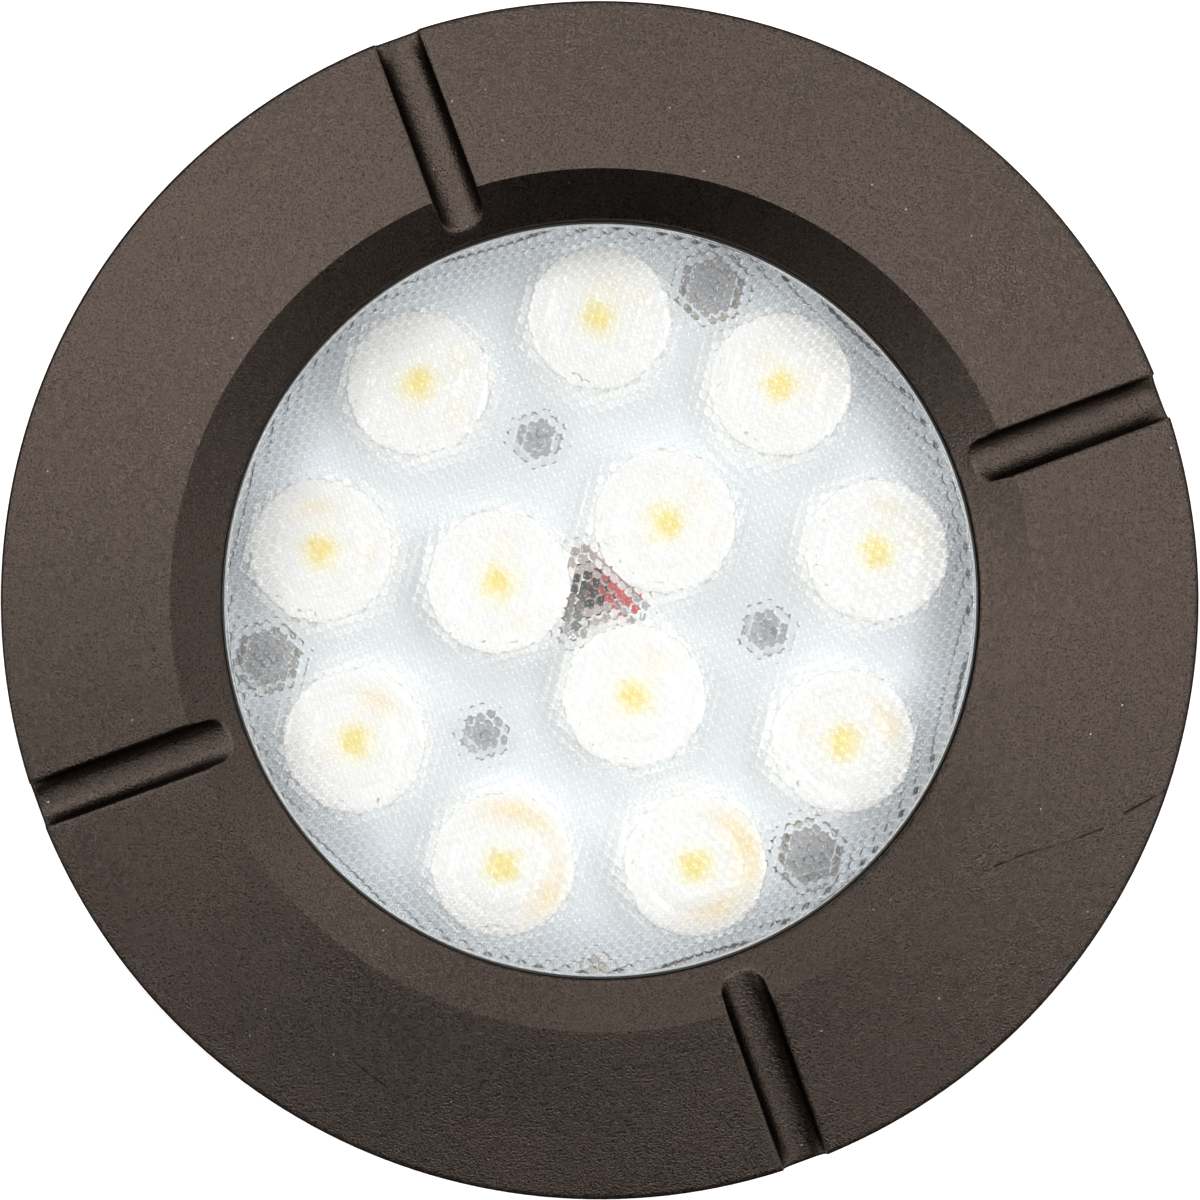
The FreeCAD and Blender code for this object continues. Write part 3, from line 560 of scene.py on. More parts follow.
def makeBronzeCoat(name, s):
    # sandy dark bronze with dust specks and faint scratches, and painted shade as a darker line along the
    # outer edge
    material, tree, shader, place = startMaterial(name, {"Metallic": 1.0, "Specular Tint": s["rim"]})
    grain = useGroup(tree, grainGroup, {
        "Vector": place, "Colour": s["base"], "Grain Scale": s["grainScale"],
        "Grain Height": s["grainHeight"], "Grain Shade": s["grainShade"],
        "Blotch Scale": s["blotchScale"], "Blotch Shade": s["blotchShade"],
        "Roughness": s["roughness"], "Roughness Spread": s["roughnessSpread"],
    })
    specks = useGroup(tree, specksGroup, {
        "Vector": place, "Scale": s["speckScale"], "Size": s["speckSize"], "Share": s["speckShare"],
    })
    colour = mixColour(tree, specks["Mask"], grain["Colour"], s["dust"])
    # painted shade: a dark line along the outer edge; the scratches are added to it below
    marks = rangeNode(tree, flatReach(tree, place), *s["edge"])
    for start, finish in s["scratches"]:
        scratch = useGroup(tree, scratchGroup, {
            "Vector": place, "Start": (*start, 0.0), "End": (*finish, 0.0), "Width": s["scratchWidth"],
            "Wave": s["scratchWave"],
        })
        marks = mathNode(tree, "MAXIMUM", marks, scratch["Mask"])
    duller = mathNode(tree, "MULTIPLY", marks, s["wornRoughness"])
    rough = mathNode(tree, "ADD", grain["Roughness"], duller, clamp=True)
    wire(tree, mixColour(tree, marks, colour, s["wornAndShaded"]), shader.inputs["Base Color"])
    wire(tree, rough, shader.inputs["Roughness"])
    wire(tree, grain["Normal"], shader.inputs["Normal"])
    return material


# glass, whose cells get painted shade in their middles towards its rim, so that their outlines show lighter

# cell is painted shade in the middle of each cell towards the rim
glassSettings = {
    "tint": (0.985, 0.992, 0.992), "roughness": 0.0, "ior": 1.5, "clear": 0.93, "cell": (0.58, 0.59, 0.60),
    "cellStart": 0.0428, "cellEnd": 0.0505, "outlineStart": 0.35, "outlineEnd": 0.7,
}


def makeGlass(name, s):
    material, tree, shader, place = startMaterial(name, {
        "Roughness": s["roughness"], "IOR": s["ior"], "Transmission Weight": s["clear"],
    })
    outline = node(tree, "ShaderNodeAttribute", attribute_name="cellEdge").outputs["Fac"]
    middle = rangeNode(tree, outline, s["outlineStart"], s["outlineEnd"], 1.0, 0.0)
    outside = rangeNode(tree, flatReach(tree, place), s["cellStart"], s["cellEnd"], smooth=True)
    # painted shade in the middles of the cells, towards the rim
    shade = mathNode(tree, "MULTIPLY", middle, outside)
    wire(tree, mixColour(tree, shade, s["tint"], s["cell"]), shader.inputs["Base Color"])
    clear = node(tree, "ShaderNodeBsdfTransparent", {0: s["tint"]})
    lit = mixShader(tree, rayMask(tree, "Is Shadow Ray", "Is Diffuse Ray"), shader, clear)
    wire(tree, lit.outputs[0], tree.nodes["Material Output"].inputs[0])
    return material


# milky optics, in millimetres on each optic's own face map

# painted light and shade on the optics: a faint glow, patches of warm light, and a dashed dark arc near one
# side of the edge
opticSettings = {
    "white": (0.955, 0.94, 0.915), "halo": (0.97, 0.93, 0.72), "spot": (0.97, 0.78, 0.20),
    "peach": (0.965, 0.74, 0.34), "edgeShade": (0.35, 0.30, 0.22), "ior": 1.49,
    "paintedGlow": 0.045, "paintedGlowColour": (1.0, 0.96, 0.90), "wobbleScale": 420.0, "wobble": 3.2,
    "spotStart": 0.7, "spotEnd": 3.1, "haloStart": 2.1, "haloEnd": 4.8, "edgeShadeRadius": 8.85,
    "edgeShadeWidth": (0.03, 0.16), "edgeShadeScale": 900.0, "edgeShadeRange": (0.54, 0.62),
    "patchRange": (0.3, 0.62, 0.55, 1.1), "glossRange": (0.3, 0.7, 0.15, 0.3),
}
faceMapSize = 24.0


def makeOpticFinish(name, s):
    # a yellow source in the middle, patches of painted warm light from their own attribute, a dashed arc of
    # painted shade near the edge, and a faint painted glow
    material, tree, shader, place = startMaterial(name, {
        "IOR": s["ior"], "Emission Color": s["paintedGlowColour"], "Emission Strength": s["paintedGlow"],
    })
    noise = node(tree, "ShaderNodeTexNoise", {"Vector": place, "Scale": s["wobbleScale"], "Detail": 3.0})
    wobble = noise.outputs[0]
    face = node(tree, "ShaderNodeUVMap", uv_map="face").outputs[0]
    share = vectorNode(tree, "LENGTH", vectorNode(tree, "SUBTRACT", face, (0.5, 0.5, 0.0)))
    swing = mathNode(tree, "MULTIPLY", mathNode(tree, "SUBTRACT", wobble, 0.5), s["wobble"])
    uneven = mathNode(tree, "ADD", mathNode(tree, "MULTIPLY", share, faceMapSize), swing)
    warm, edgeShaded = [node(tree, "ShaderNodeAttribute", attribute_name=label).outputs["Fac"]
                    for label in ("warm", "marks")]
    # painted warm light in patches
    patchy = mathNode(tree, "MULTIPLY", warm, rangeNode(tree, wobble, *s["patchRange"]))
    halo = rangeNode(tree, uneven, s["haloStart"], s["haloEnd"], 1.0, 0.0, smooth=True)
    spot = rangeNode(tree, uneven, s["spotStart"], s["spotEnd"], 1.0, 0.0, smooth=True)
    # painted shade: a dashed dark arc near the edge, on the side that its attribute gives
    off = mathNode(tree, "ABSOLUTE", mathNode(tree, "SUBTRACT", uneven, s["edgeShadeRadius"]))
    ring = rangeNode(tree, off, *s["edgeShadeWidth"], 1.0, 0.0)
    dashes = node(tree, "ShaderNodeTexNoise", {"Vector": place, "Scale": s["edgeShadeScale"]}).outputs[0]
    broken = mathNode(tree, "MULTIPLY", ring, rangeNode(tree, dashes, *s["edgeShadeRange"]))
    edgeShadeArc = mathNode(tree, "MULTIPLY", broken, edgeShaded)
    colour = s["white"]
    for mask, label in ((patchy, "peach"), (halo, "halo"), (spot, "spot"), (edgeShadeArc, "edgeShade")):
        colour = mixColour(tree, mask, colour, s[label])
    wire(tree, colour, shader.inputs["Base Color"])
    wire(tree, rangeNode(tree, wobble, *s["glossRange"]), shader.inputs["Roughness"])
    return material


finishes["bronze_powder_coat"] = makeBronzeCoat("bronzeCoat", coatSettings)
finishes["lens_glass"] = makeGlass("lens_glass", glassSettings)
finishes["optic_clear"] = makeOpticFinish("milkyOptic", opticSettings)

slotOf = {part["node"]: part["material_slot"] for part in frame["record"]["subparts"]}
for nodeName, cadNode in nodes.items():
    cadNode.data.materials.clear()
    cadNode.data.materials.append(finishes[slotOf[nodeName]])
print("finishes made:", len(finishes))


# cover ring: the flange with its drain grooves, the skirt and the outer wall

coverShape = {
    "outerRadius": 85.0, "ridgeRadius": 61.0, "apertureRadius": 53.9, "ridgeHeight": 137.1014,
    "flangeSlope": 12.0, "bevelSlope": 33.5, "ridgeBlend": 0.02, "edgeRound": 0.5, "draft": 7.0,
    "grade": 125.0, "footRound": 0.15, "lipBottom": 130.70, "shell": 3.0, "edgeWall": 3.2,
    "skirtRadius": 64.8, "skirtBore": 61.3, "skirtBottom": 112.0, "skirtRound": 0.3,
    "grooveCount": 4, "grooveHalf": 3.25, "grooveDepth": 4.45, "grooveWall": 2.2, "grooveStart": 20.0,
    "grooveFillet": 0.45, "groovePower": 2.7, "floorBlend": 0.3, "ceilingBlend": 0.5,
    "ribCount": 16, "ribTurn": 31.25, "ribThickness": 1.8, "ribFoot": 125.6, "ribDrop": 1.5,
    "ribInner": 63.05, "ribOuter": 82.54,
}

# where the mesh has its lines: across a groove, between two grooves, and outwards from the aperture
coverLines = {
    "floor": [0.0, 0.7, 1.35, 1.9, 2.35, 2.68, 2.9, 3.05, 3.15, 3.21],
    "edge": [-0.012, 0.0, 0.06, 0.15, 0.28, 0.46],
    "beside": [4.2, 4.6, 4.9, 5.1, 5.3, 5.45, 5.8, 6.4], "between": 52,
    "lip": [(0.0, 0.35), (0.08, 0.10), (0.3, 0.0)], "bevelStart": 0.7, "bevelStep": 0.4, "bevelEnd": 59.6,
    "flange": [59.9, 60.2, 60.5, 60.75, 61.0, 61.25, 61.5, 61.9, 62.4, 63.2, 64.4, 66.0, 68.0, 70.5,
               73.0, 75.5, 78.0, 80.0, 81.5, 82.8, 83.7, 84.2],
    "ceiling": [80.5, 78.0, 75.0, 72.0, 69.0, 66.5], "bore": 121.0, "ledge": 57.5,
}


def softMin(a, b, blend):
    h = max(blend - abs(a - b), 0.0) / blend
    return min(a, b) - h * h * blend * 0.25


def flangeHeight(s, radius):
    return s["ridgeHeight"] - (radius - s["ridgeRadius"]) * math.tan(math.radians(s["flangeSlope"]))


def outerForm(s, radius):
    bevel = s["ridgeHeight"] - (s["ridgeRadius"] - radius) * math.tan(math.radians(s["bevelSlope"]))
    return softMin(bevel, flangeHeight(s, radius), s["ridgeBlend"])


def grooveFloor(s, along, across, half, depth):
    # steep walls over a flatter floor
    tilt = math.cos(math.radians(s["flangeSlope"]))
    share = min(abs(across) / half, 1.0) ** s["groovePower"]
    rise = 1.0 - (1.0 - share) ** (1.0 / s["groovePower"])
    return flangeHeight(s, along) - depth + half * rise / tilt


def topHeight(s, radius, across, along):
    # the outer form with the groove cut in it, its upper edges rounded
    form = outerForm(s, radius)
    if across is None:
        return form
    side, half, depth = abs(across), s["grooveHalf"], s["grooveDepth"]
    fillet = max(0.0, min(s["grooveFillet"], form - grooveFloor(s, along, half, half, depth)))
    if side >= half + fillet:
        return form
    if side >= half:
        reach = half + fillet - side
        return form - (fillet - math.sqrt(max(fillet * fillet - reach * reach, 0.0)))
    blend = s["floorBlend"]
    return softMin(form - fillet * blend, grooveFloor(s, along, side, half, depth), blend)


def ceilingHeight(s, radius, across, along):
    # the underside, with a trough under each groove
    ceiling = flangeHeight(s, radius) - s["shell"]
    half = s["grooveHalf"] + s["grooveWall"]
    if across is None or abs(across) >= half:
        return ceiling
    trough = grooveFloor(s, along, across, half, s["grooveDepth"] + s["grooveWall"])
    return softMin(ceiling, trough, s["ceilingBlend"])


def coverColumns(s, lines):
    # lines beside each groove, and evenly turned lines between the grooves
    sides = lines["floor"] + [s["grooveHalf"] + gap for gap in lines["edge"]] + lines["beside"]
    band = sorted({-v for v in sides} | set(sides))
    shares = [(k + 1) / (lines["between"] + 1) for k in range(lines["between"])]
    columns = []
    for sector in range(s["grooveCount"]):
        centre = math.radians(s["grooveStart"]) + sector * 2 * math.pi / s["grooveCount"]
        columns += [("groove", centre, v) for v in band] + [("plain", centre, v) for v in shares]
    return columns, sides[-1], 2 * math.pi / s["grooveCount"]


def columnPlace(column, edge, sector, radius):
    # the angle in radians, and the place across and along the groove, or None
    kind, centre, value = column
    if kind == "groove":
        turn = math.asin(value / radius)
        return centre + turn, value, radius * math.cos(turn)
    turn = math.asin(edge / radius)
    return centre + turn + (sector - 2 * turn) * value, None, None


def coverRows(s, lines):
    # each row is a radius, and a function from a place across and along the groove to a height
    outer, wall, round_ = s["outerRadius"], s["edgeWall"], s["edgeRound"]
    shoulder = outer - round_
    lean = math.tan(math.radians(s["draft"]))
    edgeTop = flangeHeight(s, outer) - round_
    foot = outer - (edgeTop + round_ - s["grade"]) * lean
    rows = []

    def top(radius, drop=0.0):
        rows.append((radius, lambda a, b: topHeight(s, radius, a, b) - drop))

    def level(radius, height):
        rows.append((radius, lambda a, b: height))

    def between(radius, share, start, end):
        rows.append((radius, lambda a, b: (1 - share) * start(a, b) + share * end))

    def ceiling(radius):
        return lambda a, b: ceilingHeight(s, radius, a, b)

    for step, drop in lines["lip"]:
        top(s["apertureRadius"] + step, drop)
    radius = s["apertureRadius"] + lines["bevelStart"]
    while radius < lines["bevelEnd"]:
        top(radius)
        radius += lines["bevelStep"]
    for radius in lines["flange"] + [shoulder]:
        top(radius)
    for share in (0.35, 0.7):  # the rounded shoulder
        bend = share * math.pi / 2
        top(shoulder + round_ * math.sin(bend), round_ * (1 - math.cos(bend)))
    for share in (0.0, 0.25, 0.5, 0.75, 0.95):  # the outer wall
        between(outer - share * (edgeTop - s["grade"]) * lean, share,
                lambda a, b: topHeight(s, outer, a, b) - round_, s["grade"])
    level(foot, s["grade"] + s["footRound"])
    level(foot - s["footRound"], s["grade"])
    level(foot - wall, s["grade"])
    for share in (0.5, 1.0):  # the wall's inner face
        between(foot - wall + share * (outer - foot), 1 - share, ceiling(outer - wall), s["grade"])
    for radius in lines["ceiling"] + [s["skirtRadius"]]:
        between(radius, 0.0, ceiling(radius), 0.0)
    for share in (0.35, 0.7):
        between(s["skirtRadius"], share, ceiling(s["skirtRadius"]), s["skirtBottom"])
    level(s["skirtRadius"], s["skirtBottom"] + s["skirtRound"])
    level(s["skirtRadius"] - s["skirtRound"], s["skirtBottom"])
    level(s["skirtBore"] + s["skirtRound"], s["skirtBottom"])
    level(s["skirtBore"], s["skirtBottom"] + s["skirtRound"])
    level(s["skirtBore"], lines["bore"])
    for radius in (s["skirtBore"], lines["ledge"], s["apertureRadius"]):
        level(radius, s["lipBottom"])
    return rows


def makeCover(s, lines):
    columns, edge, sector = coverColumns(s, lines)
    points, rings, faces = [], [], []
    for radius, height in coverRows(s, lines):
        rings.append(range(len(points), len(points) + len(columns)))
        for column in columns:
            angle, across, along = columnPlace(column, edge, sector, radius)
            points.append((radius * math.cos(angle), radius * math.sin(angle), height(across, along)))
    for low, high in zip(rings, rings[1:] + rings[:1]):
        faces += bandFaces(low, high)
    cover = addObject("coverRing", meshFromPoints("coverRing", points, faces, sharpAngle=40.0))
    dress(cover, "cover", "bronze_powder_coat", "cover_ring")
    print("cover ring:", len(faces) * 2, "triangles")


def makeRingTree():
    # copies of one shape, evenly turned about the vertical axis
    tree, given = startCopyTree("ringOfCopies", {"Count": "Int", "Start": "Float"})
    dots = node(tree, "GeometryNodePoints", {"Count": given["Count"]})
    step = mathNode(tree, "DIVIDE", 2 * math.pi, given["Count"])
    index = node(tree, "GeometryNodeInputIndex").outputs[0]
    turn = mathNode(tree, "ADD", mathNode(tree, "MULTIPLY", index, step), given["Start"])
    spin = node(tree, "ShaderNodeCombineXYZ", {2: turn})
    return finishCopyTree(tree, given, dots.outputs[0], spin.outputs[0])


def makeRibs(s):
    # ribs under the flange, from the skirt to the outer wall
    half = s["ribThickness"] / 2
    inner, outer = s["ribInner"], s["ribOuter"]
    outline = [(inner, s["ribFoot"]), (outer, s["ribFoot"])]
    outline += [(r, flangeHeight(s, r) - s["ribDrop"]) for r in (outer, inner)]
    points = [(r, y, z) for y in (-half, half) for r, z in outline]
    faces = [(0, 1, 2, 3), (7, 6, 5, 4)] + [(k, k + 4, (k + 1) % 4 + 4, (k + 1) % 4) for k in range(4)]
    rib = addObject("coverRib", meshFromPoints("coverRib", points, faces))
    ribs = growCopies("coverRibs", makeRingTree(), {
        "Copy": rib, "Count": s["ribCount"], "Start": math.radians(s["ribTurn"]),
        "Finish": finishes["bronze_powder_coat"],
    })
    dress(ribs, "cover", "bronze_powder_coat")
    print("cover ribs:", len(ribs.data.polygons), "faces")


makeCover(coverShape, coverLines)
makeRibs(coverShape)


# glass with its honeycomb underside

lensShape = {
    "radius": 58.2, "bottom": 123.10, "shoulder": 129.10, "chamfer": 0.6, "faceRadius": 53.40, "top": 131.20,
    "faceRound": 0.45, "stepRound": 0.15, "segments": 240,
    "pitch": 1.45, "turn": 16.5, "slope": 0.29, "innerRing": 0.62, "cornerShare": 1.1, "cellReach": 56.9,
    "edgeGap": 0.58, "weldGap": 0.02,
}


def lastMiddle(s):
    # how far out the middle of a cell may lie
    return s["cellReach"] - s["pitch"] * s["edgeGap"]


def cellHeight(s, radius):
    # each lenslet is flat in its middle and steepens with the cube of the distance
    half = s["pitch"] / 2
    return s["slope"] * half / 4 * ((radius / half) ** 4 - 1)


def makeLensCell(s):
    # one lenslet: a pole, an inner ring of six and twelve points on its hexagon
    corner = s["pitch"] / math.sqrt(3.0)
    places = [(0.0, 0.0)] + [(60.0 * k, s["innerRing"] * corner) for k in range(6)]
    places += [(30.0 * k + 30.0, s["pitch"] / 2 if k % 2 else corner) for k in range(12)]
    points = []
    for degrees, reach in places:
        turn = math.radians(degrees)
        points.append((reach * math.cos(turn) * mm, reach * math.sin(turn) * mm, cellHeight(s, reach) * mm))
    faces = []
    for k in range(6):
        n = (k + 1) % 6
        before, middle, after = [7 + (2 * k + step) % 12 for step in (-1, 0, 1)]
        faces += [(0, 1 + n, 1 + k), (1 + k, 1 + n, middle), (1 + k, middle, before), (1 + n, after, middle)]
    mesh = bpy.data.meshes.new("lensCell")
    mesh.from_pydata(points, [], faces)
    edge = mesh.attributes.new("cellEdge", "FLOAT", "POINT")
    for i in range(len(points)):
        edge.data[i].value = 1.0 if i > 6 else 0.0
    return addObject("lensCell", mesh)


def makeHoneycombTree():
    # copies of one cell, in rows that are shifted by turns, out to a reach
    inputs = {"Pitch": "Float", "Reach": "Float", "Across": "Int", "Weld": "Float"}
    tree, given = startCopyTree("honeycomb", inputs)
    total = mathNode(tree, "MULTIPLY", given["Across"], given["Across"])
    dots = node(tree, "GeometryNodePoints", {"Count": total})
    index = node(tree, "GeometryNodeInputIndex").outputs[0]
    column = mathNode(tree, "MODULO", index, given["Across"])
    row = mathNode(tree, "FLOOR", mathNode(tree, "DIVIDE", index, given["Across"]))
    middle = mathNode(tree, "FLOOR", mathNode(tree, "MULTIPLY", given["Across"], 0.5))
    shift = mathNode(tree, "MULTIPLY", mathNode(tree, "MODULO", row, 2.0), 0.5)
    steps = mathNode(tree, "ADD", mathNode(tree, "SUBTRACT", column, middle), shift)
    rise = mathNode(tree, "MULTIPLY", mathNode(tree, "SUBTRACT", row, middle), given["Pitch"])
    x = mathNode(tree, "MULTIPLY", steps, given["Pitch"])
    y = mathNode(tree, "MULTIPLY", rise, math.sqrt(3.0) / 2)
    place = node(tree, "ShaderNodeCombineXYZ", {0: x, 1: y}).outputs[0]
    moves = {"Geometry": dots.outputs[0], "Position": place}
    spread = node(tree, "GeometryNodeSetPosition", moves).outputs[0]
    length = vectorNode(tree, "LENGTH", node(tree, "GeometryNodeInputPosition").outputs[0])
    limits = {0: length, 1: given["Reach"]}
    far = node(tree, "FunctionNodeCompare", limits, data_type="FLOAT", operation="GREATER_THAN").outputs[0]
    trim = node(tree, "GeometryNodeDeleteGeometry", {"Geometry": spread, "Selection": far}, domain="POINT")
    return finishCopyTree(tree, given, trim.outputs[0], weldGap=given["Weld"])


def nearestMiddle(s, flat, across, along):
    # the middle of the cell that a place in the plan lies in
    pitch, rowGap = s["pitch"], s["pitch"] * math.sqrt(3.0) / 2
    row = round(flat.dot(along) / rowGap)
    middles = []
    for y in (row - 1, row, row + 1):
        shift = 0.5 * (y % 2)
        x = round(flat.dot(across) / pitch - shift) + shift
        middles.append(across * (x * pitch) + along * (y * rowGap))
    return min(middles, key=lambda middle: (flat - middle).length)


def shadeLens(s, mesh):
    # every corner of a lenslet gets the normal of its true curve; the rest keeps its own
    pitch, turn, half = s["pitch"], math.radians(s["turn"]), s["pitch"] / 2
    across, along = Vector((math.cos(turn), math.sin(turn))), Vector((-math.sin(turn), math.cos(turn)))
    floor, limit = s["bottom"] + 0.25, lastMiddle(s) + 0.6 * pitch
    normals = [tuple(corner.vector) for corner in mesh.corner_normals]
    for face in mesh.polygons:
        centre = Vector(face.center) / mm
        if all(mesh.vertices[v].co.z > (s["top"] - 0.01) * mm for v in face.vertices):
            for i in face.loop_indices:
                normals[i] = (0.0, 0.0, 1.0)
            continue
        if len(face.vertices) != 3 or centre.z > floor or centre.xy.length > limit:
            continue
        middle = nearestMiddle(s, centre.xy, across, along)
        if (centre.xy - middle).length > half * s["cornerShare"] or middle.length > lastMiddle(s):
            continue
        for i in face.loop_indices:
            away = Vector(mesh.vertices[mesh.loops[i].vertex_index].co).xy / mm - middle
            steep = s["slope"] * min(away.length / half, s["cornerShare"]) ** 3
            side = away.normalized() * steep if away.length > 1e-6 else Vector((0.0, 0.0))
            normals[i] = tuple(Vector((side.x, side.y, -1.0)).normalized())
    mesh.normals_split_custom_set(normals)


def lensOutline(s):
    # from the underside's rim up over the shoulder to the raised face
    edge, step, round_ = s["radius"] - s["chamfer"], s["stepRound"], s["faceRound"]
    outline = [(edge, s["bottom"]), (s["radius"], s["bottom"] + s["chamfer"]),
               (s["radius"], s["shoulder"] - s["chamfer"]), (edge, s["shoulder"]),
               (s["faceRadius"] + step, s["shoulder"]), (s["faceRadius"], s["shoulder"] + step)]
    inner = s["faceRadius"] - round_
    for k in range(7):
        bend = math.radians(15.0 * k)
        outline.append((inner + round_ * math.cos(bend), s["top"] - round_ * (1 - math.sin(bend))))
    return outline + [(inner - 0.3, s["top"]), (inner - 0.6, s["top"])]


def makeLens(s):
    lens = growCopies("lensGlass", makeHoneycombTree(), {
        "Copy": makeLensCell(s), "Pitch": s["pitch"] * mm, "Reach": lastMiddle(s) * mm,
        "Across": 2 * int(s["cellReach"] / (s["pitch"] * 0.866)) + 5,  # dots a row, with a few to spare
        "Weld": s["weldGap"] * mm, "Finish": finishes["lens_glass"],
    })
    shell = bmesh.new()
    shell.from_mesh(lens.data)
    turn = Matrix.Rotation(math.radians(s["turn"]), 4, "Z")
    shell.transform(Matrix.Translation((0, 0, s["bottom"] * mm)) @ turn)
    seam = [e for e in shell.edges if e.is_boundary]
    edgeLayer = shell.verts.layers.float["cellEdge"]
    rings = []
    for radius, height in lensOutline(s):
        rings.append([shell.verts.new(Vector(p) * mm) for p in ringPoints(radius, height, s["segments"])])
        for corner in rings[-1]:
            corner[edgeLayer] = 1.0
    for low, high in zip(rings, rings[1:]):
        for corners in bandFaces(low, high):
            shell.faces.new(corners)
    seam += [shell.edges.get((a, b)) for a, b in zip(rings[0], rings[0][1:] + rings[0][:1])]
    shell.faces.new(rings[-1])
    bmesh.ops.triangle_fill(shell, use_beauty=True, use_dissolve=False, edges=seam, normal=(0, 0, -1))
    bmesh.ops.triangulate(shell, faces=[f for f in shell.faces if len(f.verts) > 4])
    bmesh.ops.recalc_face_normals(shell, faces=shell.faces)
    if shell.calc_volume(signed=True) < 0:
        bmesh.ops.reverse_faces(shell, faces=shell.faces)
    plane, sill = (s["bottom"] - 0.02) * mm, (s["shoulder"] + 0.1) * mm
    inside = (s["faceRadius"] - s["faceRound"] - 0.5) * mm
    for e in shell.edges:
        lenslet = any(v.co.z <= plane for v in e.verts)
        rounded = all(v.co.z > sill and v.co.xy.length > inside for v in e.verts)
        e.smooth = rounded or lenslet
    for f in shell.faces:
        f.smooth = True
        f.material_index = 0
    opened = sum(1 for e in shell.edges if len(e.link_faces) != 2)
    shell.to_mesh(lens.data)
    shell.free()
    print("lens:", len(lens.data.polygons), "faces,", opened, "open edges")
    shadeLens(s, lens.data)
    dress(lens, "lamp", "lens_glass", "lens")


makeLens(lensShape)


# gasket: the channel round the glass and its bead in the gap beside the cover's lip

gasketShape = {
    "inner": 54.2, "outer": 60.4, "bottomRound": 0.3, "topRound": 0.4,
    "beadInner": 53.46, "beadOuter": 53.86, "beadTop": 130.35, "beadFoot": 129.35, "beadShoulder": 129.7,
    "channelRadius": 58.25, "channelBottom": 123.05, "channelTop": 129.15, "segments": 240,
}


def makeGasket(s):
    low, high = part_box("lens_gasket")
    bottom, top = low.z / mm, high.z / mm
    middle, half = (s["beadInner"] + s["beadOuter"]) / 2, (s["beadOuter"] - s["beadInner"]) / 2
    outline = [(s["inner"], bottom), (s["outer"] - s["bottomRound"], bottom),
               (s["outer"], bottom + s["bottomRound"]), (s["outer"], top - s["topRound"]),
               (s["outer"] - s["topRound"], top), (s["inner"], top),
               (s["beadOuter"] + 0.1, s["beadShoulder"] - 0.1), (s["beadOuter"], s["beadShoulder"])]
    for k in range(9):
        bend = math.radians(22.5 * k)
        outline.append((middle + half * math.cos(bend), s["beadTop"] - half + half * math.sin(bend)))
    outline += [(s["beadInner"], s["beadFoot"]), (s["beadInner"] + 0.2, s["channelTop"]),
                (s["channelRadius"], s["channelTop"]), (s["channelRadius"], s["channelBottom"]),
                (s["inner"], s["channelBottom"])]
    gasket = addObject("lensGasket", revolve("lensGasket", outline, s["segments"], sharpAngle=50.0))
    dress(gasket, "lamp", "gasket_black", "lens_gasket")


makeGasket(gasketShape)


# optics and their white holders

opticShape = {
    "radius": 10.2, "top": 121.38, "flange": 1.1, "neck": 9.2, "foot": 4.4, "footHeight": 110.8,
    "cavity": 2.8, "cavityHeight": 115.0, "cavityRound": 0.4, "dish": 0.06, "stepRadius": 6.8, "segments": 96,
    "flank": [(8.4, 118.3), (7.3, 115.8), (6.0, 113.2)], "innerWarmth": 0.2, "edgeShadeSpread": 48.0,
    # the ring's radius, the direction on it, the direction of the painted shade arc, and the patches of
    # painted warm light:
    # each patch has its direction in degrees, distance, spread along and across, and strength
    "places": [
        (40.3, 90.0, 265, [(75, 5.2, 3.2, 1.6, 0.45), (20, 6.2, 1.8, 1.5, 0.35)]),
        (40.3, 50.0, 215, [(120, 5.0, 2.2, 1.5, 0.35), (5, 5.0, 3.0, 2.0, 0.30)]),
        (40.3, 10.0, 200, [(75, 6.2, 2.6, 1.4, 0.50), (20, 6.0, 2.4, 1.6, 0.40)]),
        (40.3, -30.0, 240, [(25, 7.0, 3.4, 1.6, 0.75), (160, 6.0, 2.0, 1.5, 0.35)]),
        (40.3, -70.0, 195, [(20, 7.6, 6.5, 2.0, 0.95), (290, 7.2, 4.0, 1.8, 0.65)]),
        (40.3, -110.0, 250, [(70, 8.0, 6.0, 1.8, 0.80), (330, 7.8, 4.5, 1.8, 0.80)]),
        (40.3, -150.0, 285, [(60, 6.5, 3.0, 1.6, 0.65), (200, 5.4, 2.0, 1.4, 0.35)]),
        (40.3, -190.0, 235, [(95, 6.2, 3.4, 1.5, 0.55), (355, 6.4, 2.0, 1.4, 0.40)]),
        (40.3, -230.0, 245, [(30, 6.4, 2.4, 1.6, 0.40), (320, 6.6, 2.4, 1.5, 0.30)]),
        (14.6, 50.0, 225, [(40, 5.6, 2.6, 1.6, 0.40), (345, 6.0, 2.0, 1.4, 0.30)]),
        (14.6, 170.0, 250, [(80, 5.4, 2.2, 1.5, 0.35), (300, 6.2, 2.0, 1.4, 0.25)]),
        (14.6, 290.0, 230, [(60, 5.8, 2.6, 1.6, 0.40), (200, 5.0, 1.8, 1.4, 0.25)]),
    ],
}


